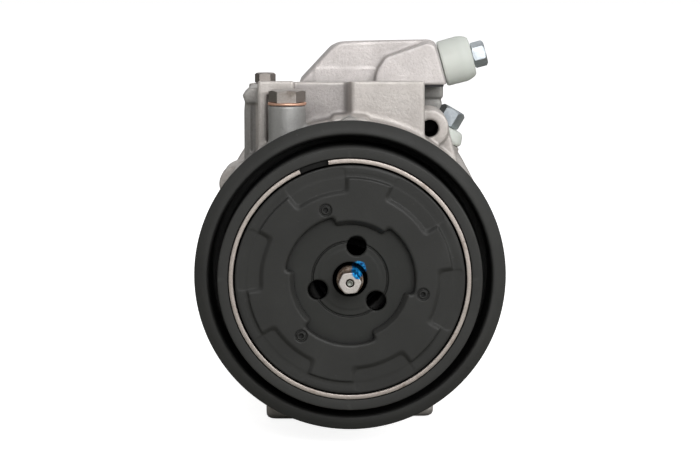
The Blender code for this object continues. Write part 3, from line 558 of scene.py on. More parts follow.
# The hub's finish has painted shadow in its vents and painted shade round the shaft's nose.
HUB_BLACK = black_coat("hub_black", (0.028, 0.0285, 0.0265), 0.46, 0.58, hub_bore_shade, paint=True)
DRIVE_BLACK = black_coat("black_steel", (0.028, 0.0285, 0.0265), 0.46, 0.58)
NOSE_STEEL = nose_metal()
RING_STEEL = bare_steel(
    "ring_steel", (0.56, 0.5, 0.46), 0.4, 0.0007, EVEN, (0.2, 0.13, 0.09), 0.56
)
GROUND_STEEL = bare_steel("ground_steel", (0.6, 0.6, 0.62), 0.22, 0.0006, (1, 6, 1))
PLUG_STEEL = bare_steel(
    "plug_steel", (0.4, 0.365, 0.34), 0.4, 0.0007, (1, 1, 3), (0.17, 0.135, 0.11), 0.6
)
BOLT_STEEL = bare_steel(
    "bolt_steel", (0.46, 0.44, 0.42), 0.42, 0.0007, EVEN, (0.26, 0.24, 0.22), 0.55
)
ZINC = bare_steel("zinc_steel", (0.58, 0.62, 0.65), 0.42, 0.0006, EVEN, (0.36, 0.4, 0.44), 0.5)
COPPER = bare_steel("copper", (1.0, 0.62, 0.46), 0.42, 0.0006, EVEN, (0.7, 0.34, 0.2), 0.64)
BRASS = bare_steel("brass", (0.72, 0.52, 0.25), 0.26, 0.0006, EVEN)
RUBBER = soft_rubber("black_rubber", (0.018, 0.018, 0.018))
GASKET = soft_rubber("gasket_fibre", (0.09, 0.09, 0.1))
CAP = moulded_plastic("cap_plastic", (0.72, 0.75, 0.7), 0.1, 0.5)
CAGE = moulded_plastic("bearing_cage", (0.35, 0.25, 0.14))


# ------ places taken from the frame


def corners(node):
    """A node's lowest and highest corners in millimetres."""
    low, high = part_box(node)
    return np.array(low) / MM, np.array(high) / MM


def spot(radius, degrees):
    """(x, z) at an angle about the shaft."""
    angle = math.radians(degrees)
    return radius * math.cos(angle), radius * math.sin(angle)


def middle_of(node):
    low, high = corners(node)
    return (low + high) / 2


COARSE_STEP = 0.6
MANIFOLD_STEP = 0.4
FINE_STEP = 0.25
NOSE_STEP = 0.12

BODY_RADIUS = corners("head_gasket")[1][0]
FRONT_LOW, FRONT_HIGH = corners("front_housing")
BLOCK_LOW, BLOCK_HIGH = corners("cylinder_block")
REAR_FRONT = corners("rear_housing")[0][1]
MANIFOLD_BASE = corners("manifold")[0][2]
BOLTS = [middle_of(f"through_bolt_{i}") for i in range(1, 7)]
BOLT_HEAD = corners("through_bolt_1")[0][1]
BOLT_SEAT = BOLT_HEAD + 5.9
BOLT_HOLE = 3.3
BOLT_HEAD_ROOM = 6.8
BOSS_RADIUS = 7.5
SHALLOW_RADIUS = BODY_RADIUS + 1.2
JOINT_BOSS = (105, 136)

FOOT_BOTTOM = FRONT_LOW[2]
FOOT_TOP = -38
FOOT_OUTSIDE = 35
FOOT_INSIDE = 19

# The block on top: its right part reaches TOP_FRONT, its left part only TOP_RECESS.
TOP_FRONT, TOP_RECESS, TOP_BACK = 69, 75, 96
TOP_LEFT, TOP_RIGHT = -37.6, 30.5
TOP_BASE = 40
TOP_OVER = FRONT_HIGH[2] + 4
TOP_SLOPE = 0.11

EAR = (33.3, 52.3)
SMALL_HOLE = 3.3
UPPER_PORT, LOWER_PORT = Vector((40, 148, 76)), Vector((38.6, 136, 45.2))
UPPER_AIM = Vector((math.cos(math.radians(15)), 0, math.sin(math.radians(15))))
LOWER_AIM = Vector((math.cos(math.radians(60)), 0, math.sin(math.radians(60))))


# ------ castings


def boss_row(c, start, end, blend):
    """Rounds for the six through bolts, as one shape; the upper ones hardly leave the barrel."""
    bosses = []
    shallow = np.hypot(c.x, c.z) - SHALLOW_RADIUS
    for x, _, z in BOLTS:
        boss = c.drum(x, z, BOSS_RADIUS, start, end, blend)
        if z > 0:
            window = outside(c.y, *JOINT_BOSS) if x < -1 else FAR
            boss = soft_max(boss, np.minimum(shallow, window), blend)
        bosses.append(boss)
    return reduce(np.minimum, bosses)


def row(c, places, radius, start, end):
    """Equal round bars along Y at several (x, z) places, as one shape."""
    return reduce(np.minimum, (c.drum(x, z, radius, start, end, 0.3) for x, z in places))


def bolt_row(c, radius, start, end):
    return row(c, [(x, z) for x, _, z in BOLTS], radius, start, end)


def foot(c, side, start, end):
    """A mounting foot under one side."""
    inner, outer = sorted((side * FOOT_INSIDE, side * FOOT_OUTSIDE))
    return c.slab((inner, start, FOOT_BOTTOM), (outer, end, FOOT_TOP), 3)


def front_block(c):
    """The square block on top: a near right part, a recessed left part and a raised frame."""
    left_wall = c.half((-1.8, TOP_RECESS, 60), (-6, -2.5, 0))
    right = c.slab((-3, TOP_FRONT, TOP_BASE), (TOP_RIGHT, TOP_BACK, TOP_OVER), 1.0)
    middle = c.slab((-24, TOP_RECESS, TOP_BASE), (2, TOP_BACK, TOP_OVER), 1.5)
    left = c.slab((TOP_LEFT, TOP_RECESS + 2, TOP_BASE), (2, TOP_BACK, TOP_OVER), 1.5)
    lip = c.slab((TOP_LEFT, TOP_FRONT, 67.6), (-22.8, TOP_BACK, TOP_OVER), 0.8)
    post = c.slab((TOP_LEFT, TOP_FRONT, 30), (-33.9, TOP_BACK, TOP_OVER), 0.8)
    slope = c.half((0, TOP_FRONT, FRONT_HIGH[2] + 1.9), (0, TOP_SLOPE, 1))
    behind = c.slab((-37.5, 90, 35), (29, 116, 66), 2)
    shape = soft_max(right, left_wall, 1.0)
    for part, blend in ((middle, 1.4), (left, 2.5), (lip, 0.5), (post, 0.5)):
        shape = soft_min(shape, part, blend)
    shape = soft_min(soft_max(shape, slope, 0.8), behind, 2)
    return soft_max(shape, -c.drum(0, 0, 50, 60, 118, 1), 1)


def front_column(c):
    """The left column under its bolt, with a stepped cap."""
    outline = [(-44.2, 12), (-44.2, 62.2), (-43.2, 66), (-36, 66), (-36, 12)]
    cap = [(-43.6, 62.6), (-44.9, 66.2), (-41.9, 69), (-36, 69.6), (-36, 62.6)]
    shape = c.plank(outline, 92, 116.5, 0.9)
    for x in (-43.2, -40.4):
        shape = soft_max(shape, -c.post(x, 91.6, 0.8, 5, 62, 0.4), 0.6)
    return soft_min(shape, c.plank(cap, 91, 116.4, 0.5), 0.3)


def make_front_housing():
    c = Casting((-60, 20.8, -70.4), (60, 119.6, 73.4), COARSE_STEP)
    back = FRONT_HIGH[1]
    plug_x, plug_y, _ = middle_of("plug_washer")
    plug_seat = corners("plug_washer")[0][2]
    ear_web = [(44, 25), (25, 40), (25.3, 52), (41.1, 52.3), (45.4, 37)]
    bosses = boss_row(c, BOLT_SEAT, back - 0.3, 0.8)
    c.add(c.turned([48.5, 52, 57, back], [40, 54, BODY_RADIUS, BODY_RADIUS], 48.5, back, 1.2))
    c.add(front_block(c), 2.5)
    c.add(front_column(c), 1.5)
    c.add(c.plank(ear_web, 94, 116.2, 1.2), 1.2)
    c.add(c.drum(*EAR, 7.9, 90, 115.8, 0.7), 1.2)
    c.add(c.post(plug_x, plug_y, BOSS_RADIUS, 35, plug_seat - 0.05, 0.7), 3)
    c.add(foot(c, -1, 78, 96), 5)
    c.add(foot(c, 1, 84, 102), 5)
    c.add(bosses, 2)
    for rib in (-14, 14):
        c.add(c.slab((rib - 1.6, 62, -60.5), (rib + 1.6, 115, -50), 1.5), 4)
    c.add(c.drum(0, 0, 17.5, 22, 50, 0.8), 6)
    # The crank chamber, with the bosses put back inside it, then the bores along the shaft.
    c.cut(c.turned([57, 62, 120], [44, 53, 53], 57, 130, 1), 0.5)
    c.add(np.maximum(bosses, 57.5 - c.y), 1.5)
    c.cut(c.drum(0, 0, 14, 20, 43, 0.3), 0.8)
    c.cut(c.drum(0, 0, 10, 40, 50, 0.3), 0.3)
    c.cut(c.drum(0, 0, 13.3, 46.7, 58, 0.3), 0.3)
    c.cut(bolt_row(c, BOLT_HEAD_ROOM, 40, BOLT_SEAT), 0.6)
    c.cut(bolt_row(c, BOLT_HOLE, 50, 121), 0.3)
    c.cut(c.drum(*EAR, 3.5, 80, 110, 0.3), 0.5)
    c.cut(c.post(plug_x, plug_y, 5.3, 48, 70, 0.3), 0.5)
    c.piece("front_casting", "case", "front_housing", CAST_FRONT_SHADED)


def make_cylinder_block():
    c = Casting((-62, 117, -64), (62, 171, 72), COARSE_STEP)
    front, back = BLOCK_LOW[1], BLOCK_HIGH[1]
    bolt_x, bolt_y, _ = middle_of("top_bolt")
    bolt_top = corners("top_bolt")[1][2]
    c.add(c.drum(0, 0, BODY_RADIUS, front, back, 0.7))
    for middle in (129, 143.5, 158):
        c.add(c.drum(0, 0, BODY_RADIUS + 0.1, middle - 1.3, middle + 1.3, 1.2), 2.5)
    c.add(c.slab((-22, 126, 38), (30, 163, 67.1), 1.5), 4)
    c.add(c.slab((26, 148, 60.7), (41, 163, 66.9), 1.3), 1)
    c.add(c.slab((26, 148.3, 38), (40.5, 163, 60.7), 2), 0.6)
    c.add(c.bar(LOWER_PORT - LOWER_AIM * 16, LOWER_AIM, 10.5, -4, 16, 0.8), 4)
    c.add(c.post(bolt_x, bolt_y, 7, 30, bolt_top - 4.5, 0.8), 4)
    c.add(boss_row(c, front + 0.2, back - 0.2, 0.6), 3.5)
    bores = [spot(36.5, 60 * index) for index in range(6)]
    c.cut(row(c, bores, 16, front - 3, back + 3), 0.5)
    c.cut(bolt_row(c, BOLT_HOLE, front - 3, back + 3), 0.3)
    c.cut(c.drum(0, 0, 12.8, front - 3, 160, 0.3), 0.6)
    c.cut(c.drum(0, 0, 3, 150, back + 3, 0.3), 0.3)
    c.cut(c.post(bolt_x, bolt_y, SMALL_HOLE, 50, 75, 0.3), 0.3)
    c.cut(c.post(5, 150, 6, 60, 75, 0.3), 0.3)
    c.cut(c.bar(LOWER_PORT, LOWER_AIM, SMALL_HOLE, -4, 4, 0.3), 0.3)
    c.piece("cylinder_casting", "case", "cylinder_block", CAST_BLOCK_SHADED)


def make_rear_housing():
    c = Casting((-62, 175, -71.2), (62, 223.4, 64), COARSE_STEP)
    radii = [BODY_RADIUS, BODY_RADIUS, 53, 42]
    c.add(c.turned([REAR_FRONT, 204, 211, 215], radii, REAR_FRONT, 215, 1.5))
    for index in range(6):
        c.add(rear_rib(c, math.radians(60 * index)), 3)
    c.add(c.drum(0, 0, 15, 205, 217.5, 1.2), 3)
    c.cut(c.drum(0, 0, 10, 216.2, 225, 0.4), 0.5)
    c.add(boss_row(c, REAR_FRONT + 0.2, 207, 1.0), 4)
    for side in (-1, 1):
        c.add(foot(c, side, 184, 202), 5)
    control_x, _, control_z = middle_of("control_valve_body")
    relief_x, _, relief_z = middle_of("relief_valve_body")
    c.add(c.drum(control_x, control_z, 11, 205, 222, 1.0), 3)
    c.add(c.drum(relief_x, relief_z, 9, 205, 218, 1.0), 3)
    # The discharge chamber is a ring round the suction chamber.
    c.cut(np.maximum(c.drum(0, 0, 46, 170, 200, 1), -c.drum(0, 0, 32, 160, 220, 1)), 0.6)
    c.cut(c.drum(0, 0, 27, 170, 196, 1), 0.6)
    c.cut(bolt_row(c, BOLT_HOLE, 170, 203), 0.3)
    c.cut(c.drum(control_x, control_z, 8.3, 203, 230, 0.3), 0.5)
    c.cut(c.drum(relief_x, relief_z, 5.3, 190, 230, 0.3), 0.5)
    c.piece("rear_casting", "case", "rear_housing", CAST)


def rear_rib(c, turn):
    """A rib from the hub of the rear face outward, falling away towards the rim."""
    across = c.x * math.sin(turn) - c.z * math.cos(turn)
    reach = c.x * math.cos(turn) + c.z * math.sin(turn)
    rib = np.maximum(np.abs(across) - 1.7, outside(reach, 14, 53))
    return soft_max(rib, c.y - 217 + 0.055 * np.maximum(reach - 30, 0) ** 1.25, 1.5)


def make_manifold():
    """The pale block with the ports: a long body, a raised front part and a faint ledge."""
    base = MANIFOLD_BASE
    c = Casting((-24, 123, base - 0.8), (43.4, 165, 88.6), MANIFOLD_STEP)
    body = [
        (-22.2, base), (-22.2, 69), (-7.6, 84.6), (-3.8, 86.9), (0, 87.5), (28.3, 88),
        (33.5, 88.2), (36.8, 86.2), (41.6, base),
    ]
    raised = [(10.6, base), (11.3, 74), (15, 80.2), (33.3, 86.6), (36.6, 85.2), (41.4, base)]
    slope = c.half((0, 130, 88), (0, 0.12, 1))
    c.add(soft_max(c.plank(body, 130, 163, 1.0, 1.6), slope, 1))
    c.add(c.plank(raised, 124, 140, 1.1, 1.1), 1.6)
    c.add(c.slab((-15.5, 129.85, base), (11, 132, 75.4), 0.2), 0.2)
    c.cut(c.post(5, 150, 6, 60, 82.3, 0.4), 0.4)
    c.cut(c.bar(UPPER_PORT, UPPER_AIM, SMALL_HOLE, -14, 6, 0.3), 0.3)
    c.field = np.maximum(c.field, base - c.z)
    c.piece("port_manifold", "case", "manifold", CAST_PALE)


# ------ hub, cover and pulley

COVER_FACE = 8.0
COVER_BACK = 11
COVER_OPENING = 21.7
LOBES = (138, 20.5, 259.5)
LOBE_REACH = 25.2
LOBE_SPAN = 67
POCKETS = [49 + 60 * i for i in range(6)]
POCKET_SPAN = 36.5
POCKET_DEPTH = 1.05
RIVETS = (109, 229, 349)
RIVET_CIRCLE = 28.8
VENTS = (79, 198.5, 320)
VENT_CIRCLE = 13.2
HUB_FACE = 11.3
HUB_GROOVE = 14.6
HUB_BORE = 6.7
RIBS = 6
RIB_PITCH = 3.56
RIBS_FRONT = 22.2
FLANGE = 58.9
RING_GAP = (100.3, 114.7)
NOSE_TURN = 36
NOSE_FLAT = 4.0
THREAD_RADIUS = 5.2
THREAD_PITCH = 1.25
THREAD_FRONT, THREAD_BACK = 5.8, 16.6


def wedge(c, middle, span, blend):
    """Distance outside a sector centred on an angle about the shaft."""
    low, high = math.radians(middle - span / 2), math.radians(middle + span / 2)
    first = c.x * math.sin(low) - c.z * math.cos(low)
    second = c.z * math.cos(high) - c.x * math.sin(high)
    return soft_max(first, second, blend)


def make_cover_plate():
    c = Casting((-45.4, 7.2, -45.4), (45.4, 18.8, 45.4), FINE_STEP)
    r = np.hypot(c.x, c.z)
    edge = corners("cover_plate")[1][0]
    # A raised land, a lower rim round it and a skirt behind the rim.
    land = soft_max(r - 39.7, outside(c.y, COVER_FACE, COVER_BACK), 0.5)
    step = soft_max(r - edge, outside(c.y, COVER_FACE + 1, COVER_BACK), 1.2)
    skirt = soft_max(np.maximum(r - edge, edge - 2.2 - r), outside(c.y, 9.4, 18), 0.4)
    c.add(land)
    c.add(soft_min(step, skirt, 0.8), 0.9)
    # The opening widens towards the front, and three lobes widen it further.
    opening = COVER_OPENING - r
    bevel = COVER_OPENING + np.maximum(9.9 - c.y, 0) * 0.85 - r
    c.cut(-np.maximum(opening, bevel), 0.35)
    for middle in LOBES:
        c.cut(soft_max(r - LOBE_REACH, wedge(c, middle, LOBE_SPAN, 0.1), 1.8), 1.3)
    for middle in POCKETS:
        ring = outside(r, 33.7, 45)
        pocket = soft_max(ring, wedge(c, middle, POCKET_SPAN, 0.1), 2.2)
        walls = (pocket + 1.3 * (c.y - COVER_FACE)) * 0.65
        c.cut(np.maximum(walls, c.y - (COVER_FACE + POCKET_DEPTH)), 0.35)
    # Each rivet end shows as a ring-shaped dent round a small hole.
    for middle in RIVETS:
        x, z = spot(RIVET_CIRCLE, middle)
        away = np.hypot(c.x - x, c.z - z)
        c.cut(np.maximum(np.abs(away - 2.0) - 0.38, c.y - (COVER_FACE + 0.7)), 0.2)
        c.cut(np.maximum(away - 0.95, c.y - (COVER_FACE + 1.5)), 0.3)
        c.add(c.drum(x, z, 1.2, 9.7, 15.4, 0.3), 0.1)
    c.piece("hub_cover", "shaft", "cover_plate", COVER_BLACK)


def make_drive_hub():
    c = Casting((-31.5, 10.6, -31.5), (31.5, 32.6, 31.5), FINE_STEP)
    r = np.hypot(c.x, c.z)
    c.add(soft_max(r - 31, outside(c.y, HUB_FACE, 14.9), 0.6))
    c.add(soft_max(r - 11, outside(c.y, 12, 32), 0.5), 1.5)
    c.cut(np.hypot(r - HUB_GROOVE, (c.y - HUB_FACE) * 0.6) - 0.42, 0.12)
    for middle in VENTS:
        x, z = spot(VENT_CIRCLE, middle)
        away = np.hypot(c.x - x, c.z - z)
        c.cut(c.drum(x, z, 3.8, 8, 18, 0.1), 0.1)
        c.cut((away - 4.2 + (c.y - HUB_FACE)) * 0.7, 0.1)
    for middle in RIVETS:
        x, z = spot(RIVET_CIRCLE, middle)
        c.cut(c.drum(x, z, 1.4, 8, 18, 0.1), 0.1)
    c.cut(np.maximum(r - HUB_BORE, c.y - 16.2), 0.3)
    c.piece("hub_flange", "shaft", "drive_hub", HUB_BLACK)


def make_pulley():
    """Its section runs from the rim over the belt ribs to the rear, then along the hub and collar."""
    low, high = corners("pulley")
    rim, face, rear = high[0], low[1], high[1]
    outline = [
        (18.8, 55.1, 0.5), (17.6, 55.9, 0.6), (17.75, 57.6, 0.9), (18.6, 59.3, 1.0),
        (19.8, rim, 0.8), (21.4, rim, 0.5),
    ]
    for index in range(RIBS):
        valley = RIBS_FRONT + (index + 0.5) * RIB_PITCH
        outline += [(valley - RIB_PITCH / 2 + 0.25, FLANGE, 0.4), (valley, 56.2, 0.5)]
    outline += [
        (RIBS_FRONT + RIBS * RIB_PITCH - 0.25, 58.7, 0.4), (rear - 1.9, FLANGE, 0.4),
        (rear, FLANGE - 0.4, 0.3), (rear, 55.1, 0.6), (42, 55.1, 1.2), (42, 47.5, 1.2),
        (25, 46.5, 3), (24.5, 33, 3), (44, 31.8, 0.8), (44, 27.8, 0.4), (21.7, 27.8, 0.2),
        (21.7, 26.3, 0.2), (20.3, 26.3, 0.4), (20.3, 45, 0.6), (11.4, 45, 0.3), (11.4, 47.3, 0.3),
        (face, 47.3, 0.45), (face, 51.4, 0.7), (38, 51.4, 1.2), (38, 55.1, 1.2),
    ]
    mesh = lathe_mesh("belt_pulley", rounded(outline, 0.4), 288)
    finished("belt_pulley", mesh, "pulley", "pulley", RIM_BLACK)


def make_snap_ring():
    low, high = corners("cover_snap_ring")
    front, back, inner, outer = low[1], high[1], 45.3, 47
    outline = [(front, inner, 0.25), (back, inner, 0.2), (back, outer, 0.2), (front, outer, 0.25)]
    gap_start, gap_end = (math.radians(angle) for angle in RING_GAP)
    span = TAU - (gap_end - gap_start)
    mesh = lathe_mesh("retaining_ring", rounded(outline, 0.3), 288, span, gap_end)
    finished("retaining_ring", mesh, "pulley", "cover_snap_ring", RING_STEEL, 40)


def make_damper_ring():
    low, high = corners("damper_ring")
    inner, outer = 31.4, 41.8
    outline = [(low[1], inner), (low[1], outer), (high[1], outer), (high[1], inner)]
    mesh = lathe_mesh("rubber_damper", rounded(outline, 0.9), 192)
    finished("rubber_damper", mesh, "shaft", "damper_ring", RUBBER)


def make_shaft():
    """The shaft's nose as a fine field, with its hexagon, centre mark and thread, and a turned body."""
    c = Casting((-5.6, -0.4, -5.6), (5.6, 17.2, 5.6), NOSE_STEP)
    r = np.hypot(c.x, c.z)
    turns = (math.radians(60 * side + NOSE_TURN) for side in range(3))
    flats = (np.abs(c.x * math.cos(turn) + c.z * math.sin(turn)) - NOSE_FLAT for turn in turns)
    hexagon = reduce(lambda one, other: soft_max(one, other, 0.25), flats)
    tip = soft_max(hexagon, (r - 4.1 - c.y) * 0.7, 0.2)
    c.add(soft_max(tip, np.maximum(-c.y, c.y - 7.5), 0.2))
    turn = np.arctan2(c.z, c.x) / TAU
    phase = np.abs(((c.y / THREAD_PITCH - turn) % 1.0) - 0.5) * 2
    thread = r - THREAD_RADIUS + 0.62 * (1 - phase)
    thread = soft_max(thread, (r - 3.9 - (c.y - THREAD_FRONT)) * 0.7, 0.3)
    c.add(np.maximum(thread * 0.6, outside(c.y, THREAD_FRONT, THREAD_BACK)), 0.2)
    # The centre mark is a dimple inside a turned ring.
    c.cut(np.maximum(np.abs(r - 1.4) - 0.25, c.y - 0.5), 0.1)
    c.cut(np.hypot(r, c.y + 0.9) - 1.25, 0.1)
    c.piece("shaft_nose_thread", "shaft", "drive_shaft", NOSE_STEEL)
    outline = [
        (15.5, 0), (15.5, 4.4), (16.5, 4.4), (16.5, 6.6), (16.9, 7), (33, 7), (33.6, 8), (46.5, 8),
        (46.8, 9.1), (47.2, 9.5), (157, 9.5), (158, 8.5), (158, 2), (156.5, 0),
    ]
    mesh = lathe_mesh("shaft_body", rounded(outline, 0.25), 96)
    finished("shaft_body", mesh, "shaft", "drive_shaft", GROUND_STEEL, 35, added=True)


# ------ bolts, plugs and caps

PLUG_FLATS, PLUG_HEAD = 13, 4.8
SIDE_BOLT_FLATS, SIDE_BOLT_HEAD = 7.8, 4.2
CASE_BOLT_FLATS, CASE_BOLT_HEAD = 10, 5.6
CAP_BOLT_FLATS = 10
BOLT_SHANK = 3


def hexagon_mesh(name, flats, head, turn):
    """A hexagonal prism from y 0 to head with fine bevels, turned by degrees about Y."""
    corner = flats / math.sqrt(3)
    shape = bmesh.new()
    bmesh.ops.create_cone(
        shape, cap_ends=True, segments=6, radius1=corner, radius2=corner, depth=head
    )
    shape.transform(Matrix.Translation((0, head / 2, 0)) @ Matrix.Rotation(math.pi / 2, 4, "X"))
    shape.transform(Matrix.Rotation(math.radians(turn), 4, "Y"))
    bmesh.ops.bevel(
        shape, geom=shape.edges[:], offset=flats * 0.012, segments=2, profile=0.6, affect="EDGES"
    )
    shape.transform(Matrix.Scale(MM, 4))
    return mesh_from(shape, name)


def hex_bolt_mesh(name, flats, head, radius, length, turn=0):
    """A chamfered hexagon head from y 0 to head, with a shank going on to length; millimetres."""
    corner = flats / math.sqrt(3)
    body = bpy.data.objects.new(name, hexagon_mesh(name, flats, head, turn))
    bpy.context.scene.collection.objects.link(body)
    dome = [
        (-0.01, 0), (-0.01, flats * 0.475), (head * 0.16, corner + 0.1), (head * 0.9, corner + 0.1),
        (head * 0.97, corner - 0.3), (head + 0.01, corner - 0.5), (head + 0.01, 0),
    ]
    combine(body, lathe_mesh("dome", dome, 96), "INTERSECT")
    shank = [
        (head - 0.4, 0), (head - 0.4, radius), (length - 0.6, radius), (length, radius - 0.6),
        (length, 0),
    ]
    combine(body, lathe_mesh("shank", shank, 48), "UNION")
    mesh = body.data
    bpy.data.objects.remove(body)
    return mesh


def combine(obj, mesh, operation):
    """Replaces an object's mesh by its exact Boolean with another mesh."""
    other = bpy.data.objects.new("other", mesh)
    bpy.context.scene.collection.objects.link(other)
    modifier = obj.modifiers.new("Combine", "BOOLEAN")
    modifier.operation = operation
    modifier.solver = "EXACT"
    modifier.object = other
    bpy.context.view_layer.update()
    graph = bpy.context.evaluated_depsgraph_get()
    made = bpy.data.meshes.new_from_object(obj.evaluated_get(graph))
    obj.modifiers.clear()
    obj.data = made
    bpy.data.objects.remove(other)


def aimed(mesh, base, aim):
    """Turns a mesh made along +Y, in metres, to point along aim from base, in millimetres."""
    turn = Vector(aim).to_track_quat("Y", "Z").to_matrix().to_4x4()
    mesh.transform(Matrix.Translation(Vector(base) * MM) @ turn)


def make_through_bolts():
    for number, (x, _, z) in enumerate(BOLTS, 1):
        node, name = f"through_bolt_{number}", f"case_bolt_{number}"
        low, high = corners(node)
        length = high[1] - low[1]
        mesh = hex_bolt_mesh(name, CASE_BOLT_FLATS, CASE_BOLT_HEAD, BOLT_SHANK, length)
        mesh.transform(Matrix.Translation(Vector((x, low[1], z)) * MM))
        finished(name, mesh, "case", node, BOLT_STEEL, 30)


def make_caps():
    """A shipping cap on each port, held by a bolt; deep is how far the bolt goes into the port."""
    gap = 0.3
    for word, base, aim, length, deep, head in (
        ("upper", UPPER_PORT, UPPER_AIM, 14, 10, 5.8),
        ("lower", LOWER_PORT, LOWER_AIM, 6, 3.5, 7.4),
    ):
        outline = [
            (gap, 3.3), (gap, 9.7, 0.3), (1.2, 10.1, 0.5), (length - 4, 10.2, 1.4),
            (length - 1.2, 9.1, 1.0), (length - 0.1, 8.2, 0.5), (length, 7.6, 0.3), (length, 3.3),
        ]
        mesh = lathe_mesh(f"port_cover_{word}", rounded(outline, 0.15), 128)
        aimed(mesh, base, aim)
        finished(f"port_cover_{word}", mesh, "case", f"port_cap_{word}", CAP)
        name = f"cover_bolt_{word}"
        total = head + length + gap + deep
        mesh = hex_bolt_mesh(name, CAP_BOLT_FLATS, head, BOLT_SHANK, total, 8)
        aimed(mesh, base + aim * (length + gap + head), -aim)
        finished(name, mesh, "case", f"cap_bolt_{word}", ZINC, 30)


def make_plugs():
    """The filler plug on its washer and the side bolt, each with a flat to the front."""
    for name, node, flats, head, radius in (
        ("oil_filler_plug", "oil_plug", PLUG_FLATS, PLUG_HEAD, 5),
        ("side_bolt", "top_bolt", SIDE_BOLT_FLATS, SIDE_BOLT_HEAD, BOLT_SHANK),
    ):
        low, high = corners(node)
        x, y = (low + high)[:2] / 2
        mesh = hex_bolt_mesh(name, flats, head, radius, high[2] - low[2], 30)
        aimed(mesh, (x, y, high[2]), (0, 0, -1))
        finished(name, mesh, "case", node, PLUG_STEEL, 30)
    low, high = corners("plug_washer")
    x, y, _ = middle_of("oil_plug")
    thick = high[2] - low[2]
    outline = [(0, 5.3), (0, 7.8), (thick, 7.8), (thick, 5.3)]
    mesh = lathe_mesh("copper_washer", rounded(outline, 0.35), 96)
    aimed(mesh, (x, y, low[2]), (0, 0, 1))
    finished("copper_washer", mesh, "case", "plug_washer", COPPER)


def make_bearing():
    """The two races, each with its groove for the balls."""
    low, high = corners("bearing_inner_ring")
    front, back = low[1], high[1]
    middle = (front + back) / 2
    for name, node, body, seat, land, race in (
        ("bearing_inner_race", "bearing_inner_ring", "case", 17.9, 20.9, 20.1),
        ("bearing_outer_race", "bearing_outer_ring", "pulley", 27.5, 24.3, 25.1),
    ):
        outline = [
            (front, seat, 0.4), (front, land, 0.25), (middle - 2.4, land, 0.1),
            (middle - 1.4, race, 0.7), (middle + 1.4, race, 0.7), (middle + 2.4, land, 0.1),
            (back, land, 0.25), (back, seat, 0.4),
        ]
        mesh = lathe_mesh(name, rounded(outline, 0.3), 128)
        finished(name, mesh, body, node, GROUND_STEEL, 40)


def make_valves():
    """The control valve's body, with two ring grooves, a collar and a dished end."""
    x, _, z = middle_of("control_valve_body")
    outline = [
        (206, 3.3), (206, 7.6), (206.4, 8), (209, 8), (209, 7.2), (211, 7.2), (211, 8), (215, 8),
        (215, 7.2), (217, 7.2), (217, 8), (222.3, 8), (222.3, 9.2), (222.6, 9.5), (225.2, 9.5),
        (226, 8.8), (226, 6), (225.2, 5.6), (225.2, 0), (220, 0), (220, 3.3),
    ]
    mesh = lathe_mesh("control_valve", rounded(outline, 0.15), 96)
    mesh.transform(Matrix.Translation((x * MM, 0, z * MM)))
    finished("control_valve", mesh, "case", "control_valve_body", GROUND_STEEL, 35)


def make_plates():
    """The plates and the gasket before the rear head, with lobes cut as low as the castings'."""
    for node, material in (
        ("suction_reed_plate", RING_STEEL),
        ("valve_plate", GROUND_STEEL),
        ("head_gasket", GASKET),
    ):
        low, high = corners(node)
        start, end = low[1] - 1, high[1] + 1
        outline = [(start, 0), (start, SHALLOW_RADIUS), (end, SHALLOW_RADIUS), (end, 0)]
        plate = bpy.data.objects.new("plate", frame["nodes"][node].data.copy())
        bpy.context.scene.collection.objects.link(plate)
        combine(plate, lathe_mesh("disc", outline, 192), "INTERSECT")
        finished(f"{node}_round", plate.data, "case", node, material, 30)
        bpy.data.objects.remove(plate)


def keep_nodes():
    """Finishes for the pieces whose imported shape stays."""
    finishes = {
        "cast_aluminium": CAST, "black_steel": DRIVE_BLACK, "black_rubber": RUBBER,
        "ground_steel": GROUND_STEEL, "zinc_steel": ZINC, "spring_steel": RING_STEEL,
        "copper": COPPER, "brass": BRASS, "cap_plastic": CAP, "gasket_fibre": GASKET,
        "bearing_cage": CAGE,
    }
    for name, node in frame["nodes"].items():
        if node.hide_render:
            continue
        material = finishes[SLOTS[name]]
        node.data.materials.clear()
        node.data.materials.append(material)
        node.data.shade_smooth()


# ------ stage, light and camera


def make_stage():
    """A floor a hair below the feet."""
    shape = bmesh.new()
    bmesh.ops.create_grid(shape, x_segments=1, y_segments=1, size=FLOOR_REACH)
    floor = mesh_from(shape, "floor")
    obj = bpy.data.objects.new("floor", floor)
    obj.location = (0, 0, (FOOT_BOTTOM - 0.3) * MM)
    floor.materials.append(floor_material())
    bpy.context.scene.collection.objects.link(obj)


def end_tree(tree, kind, seen, lit):
    """Ends a shader tree: the camera sees one shader, and all other rays meet the other."""
    output = tree.nodes.new(kind)
    view = tree.nodes.new("ShaderNodeLightPath")
    choose = tree.nodes.new("ShaderNodeMixShader")
    tree.links.new(view.outputs["Is Camera Ray"], choose.inputs["Fac"])
    tree.links.new(lit.outputs[0], choose.inputs[1])
    tree.links.new(seen.outputs[0], choose.inputs[2])
    tree.links.new(choose.outputs[0], output.inputs["Surface"])


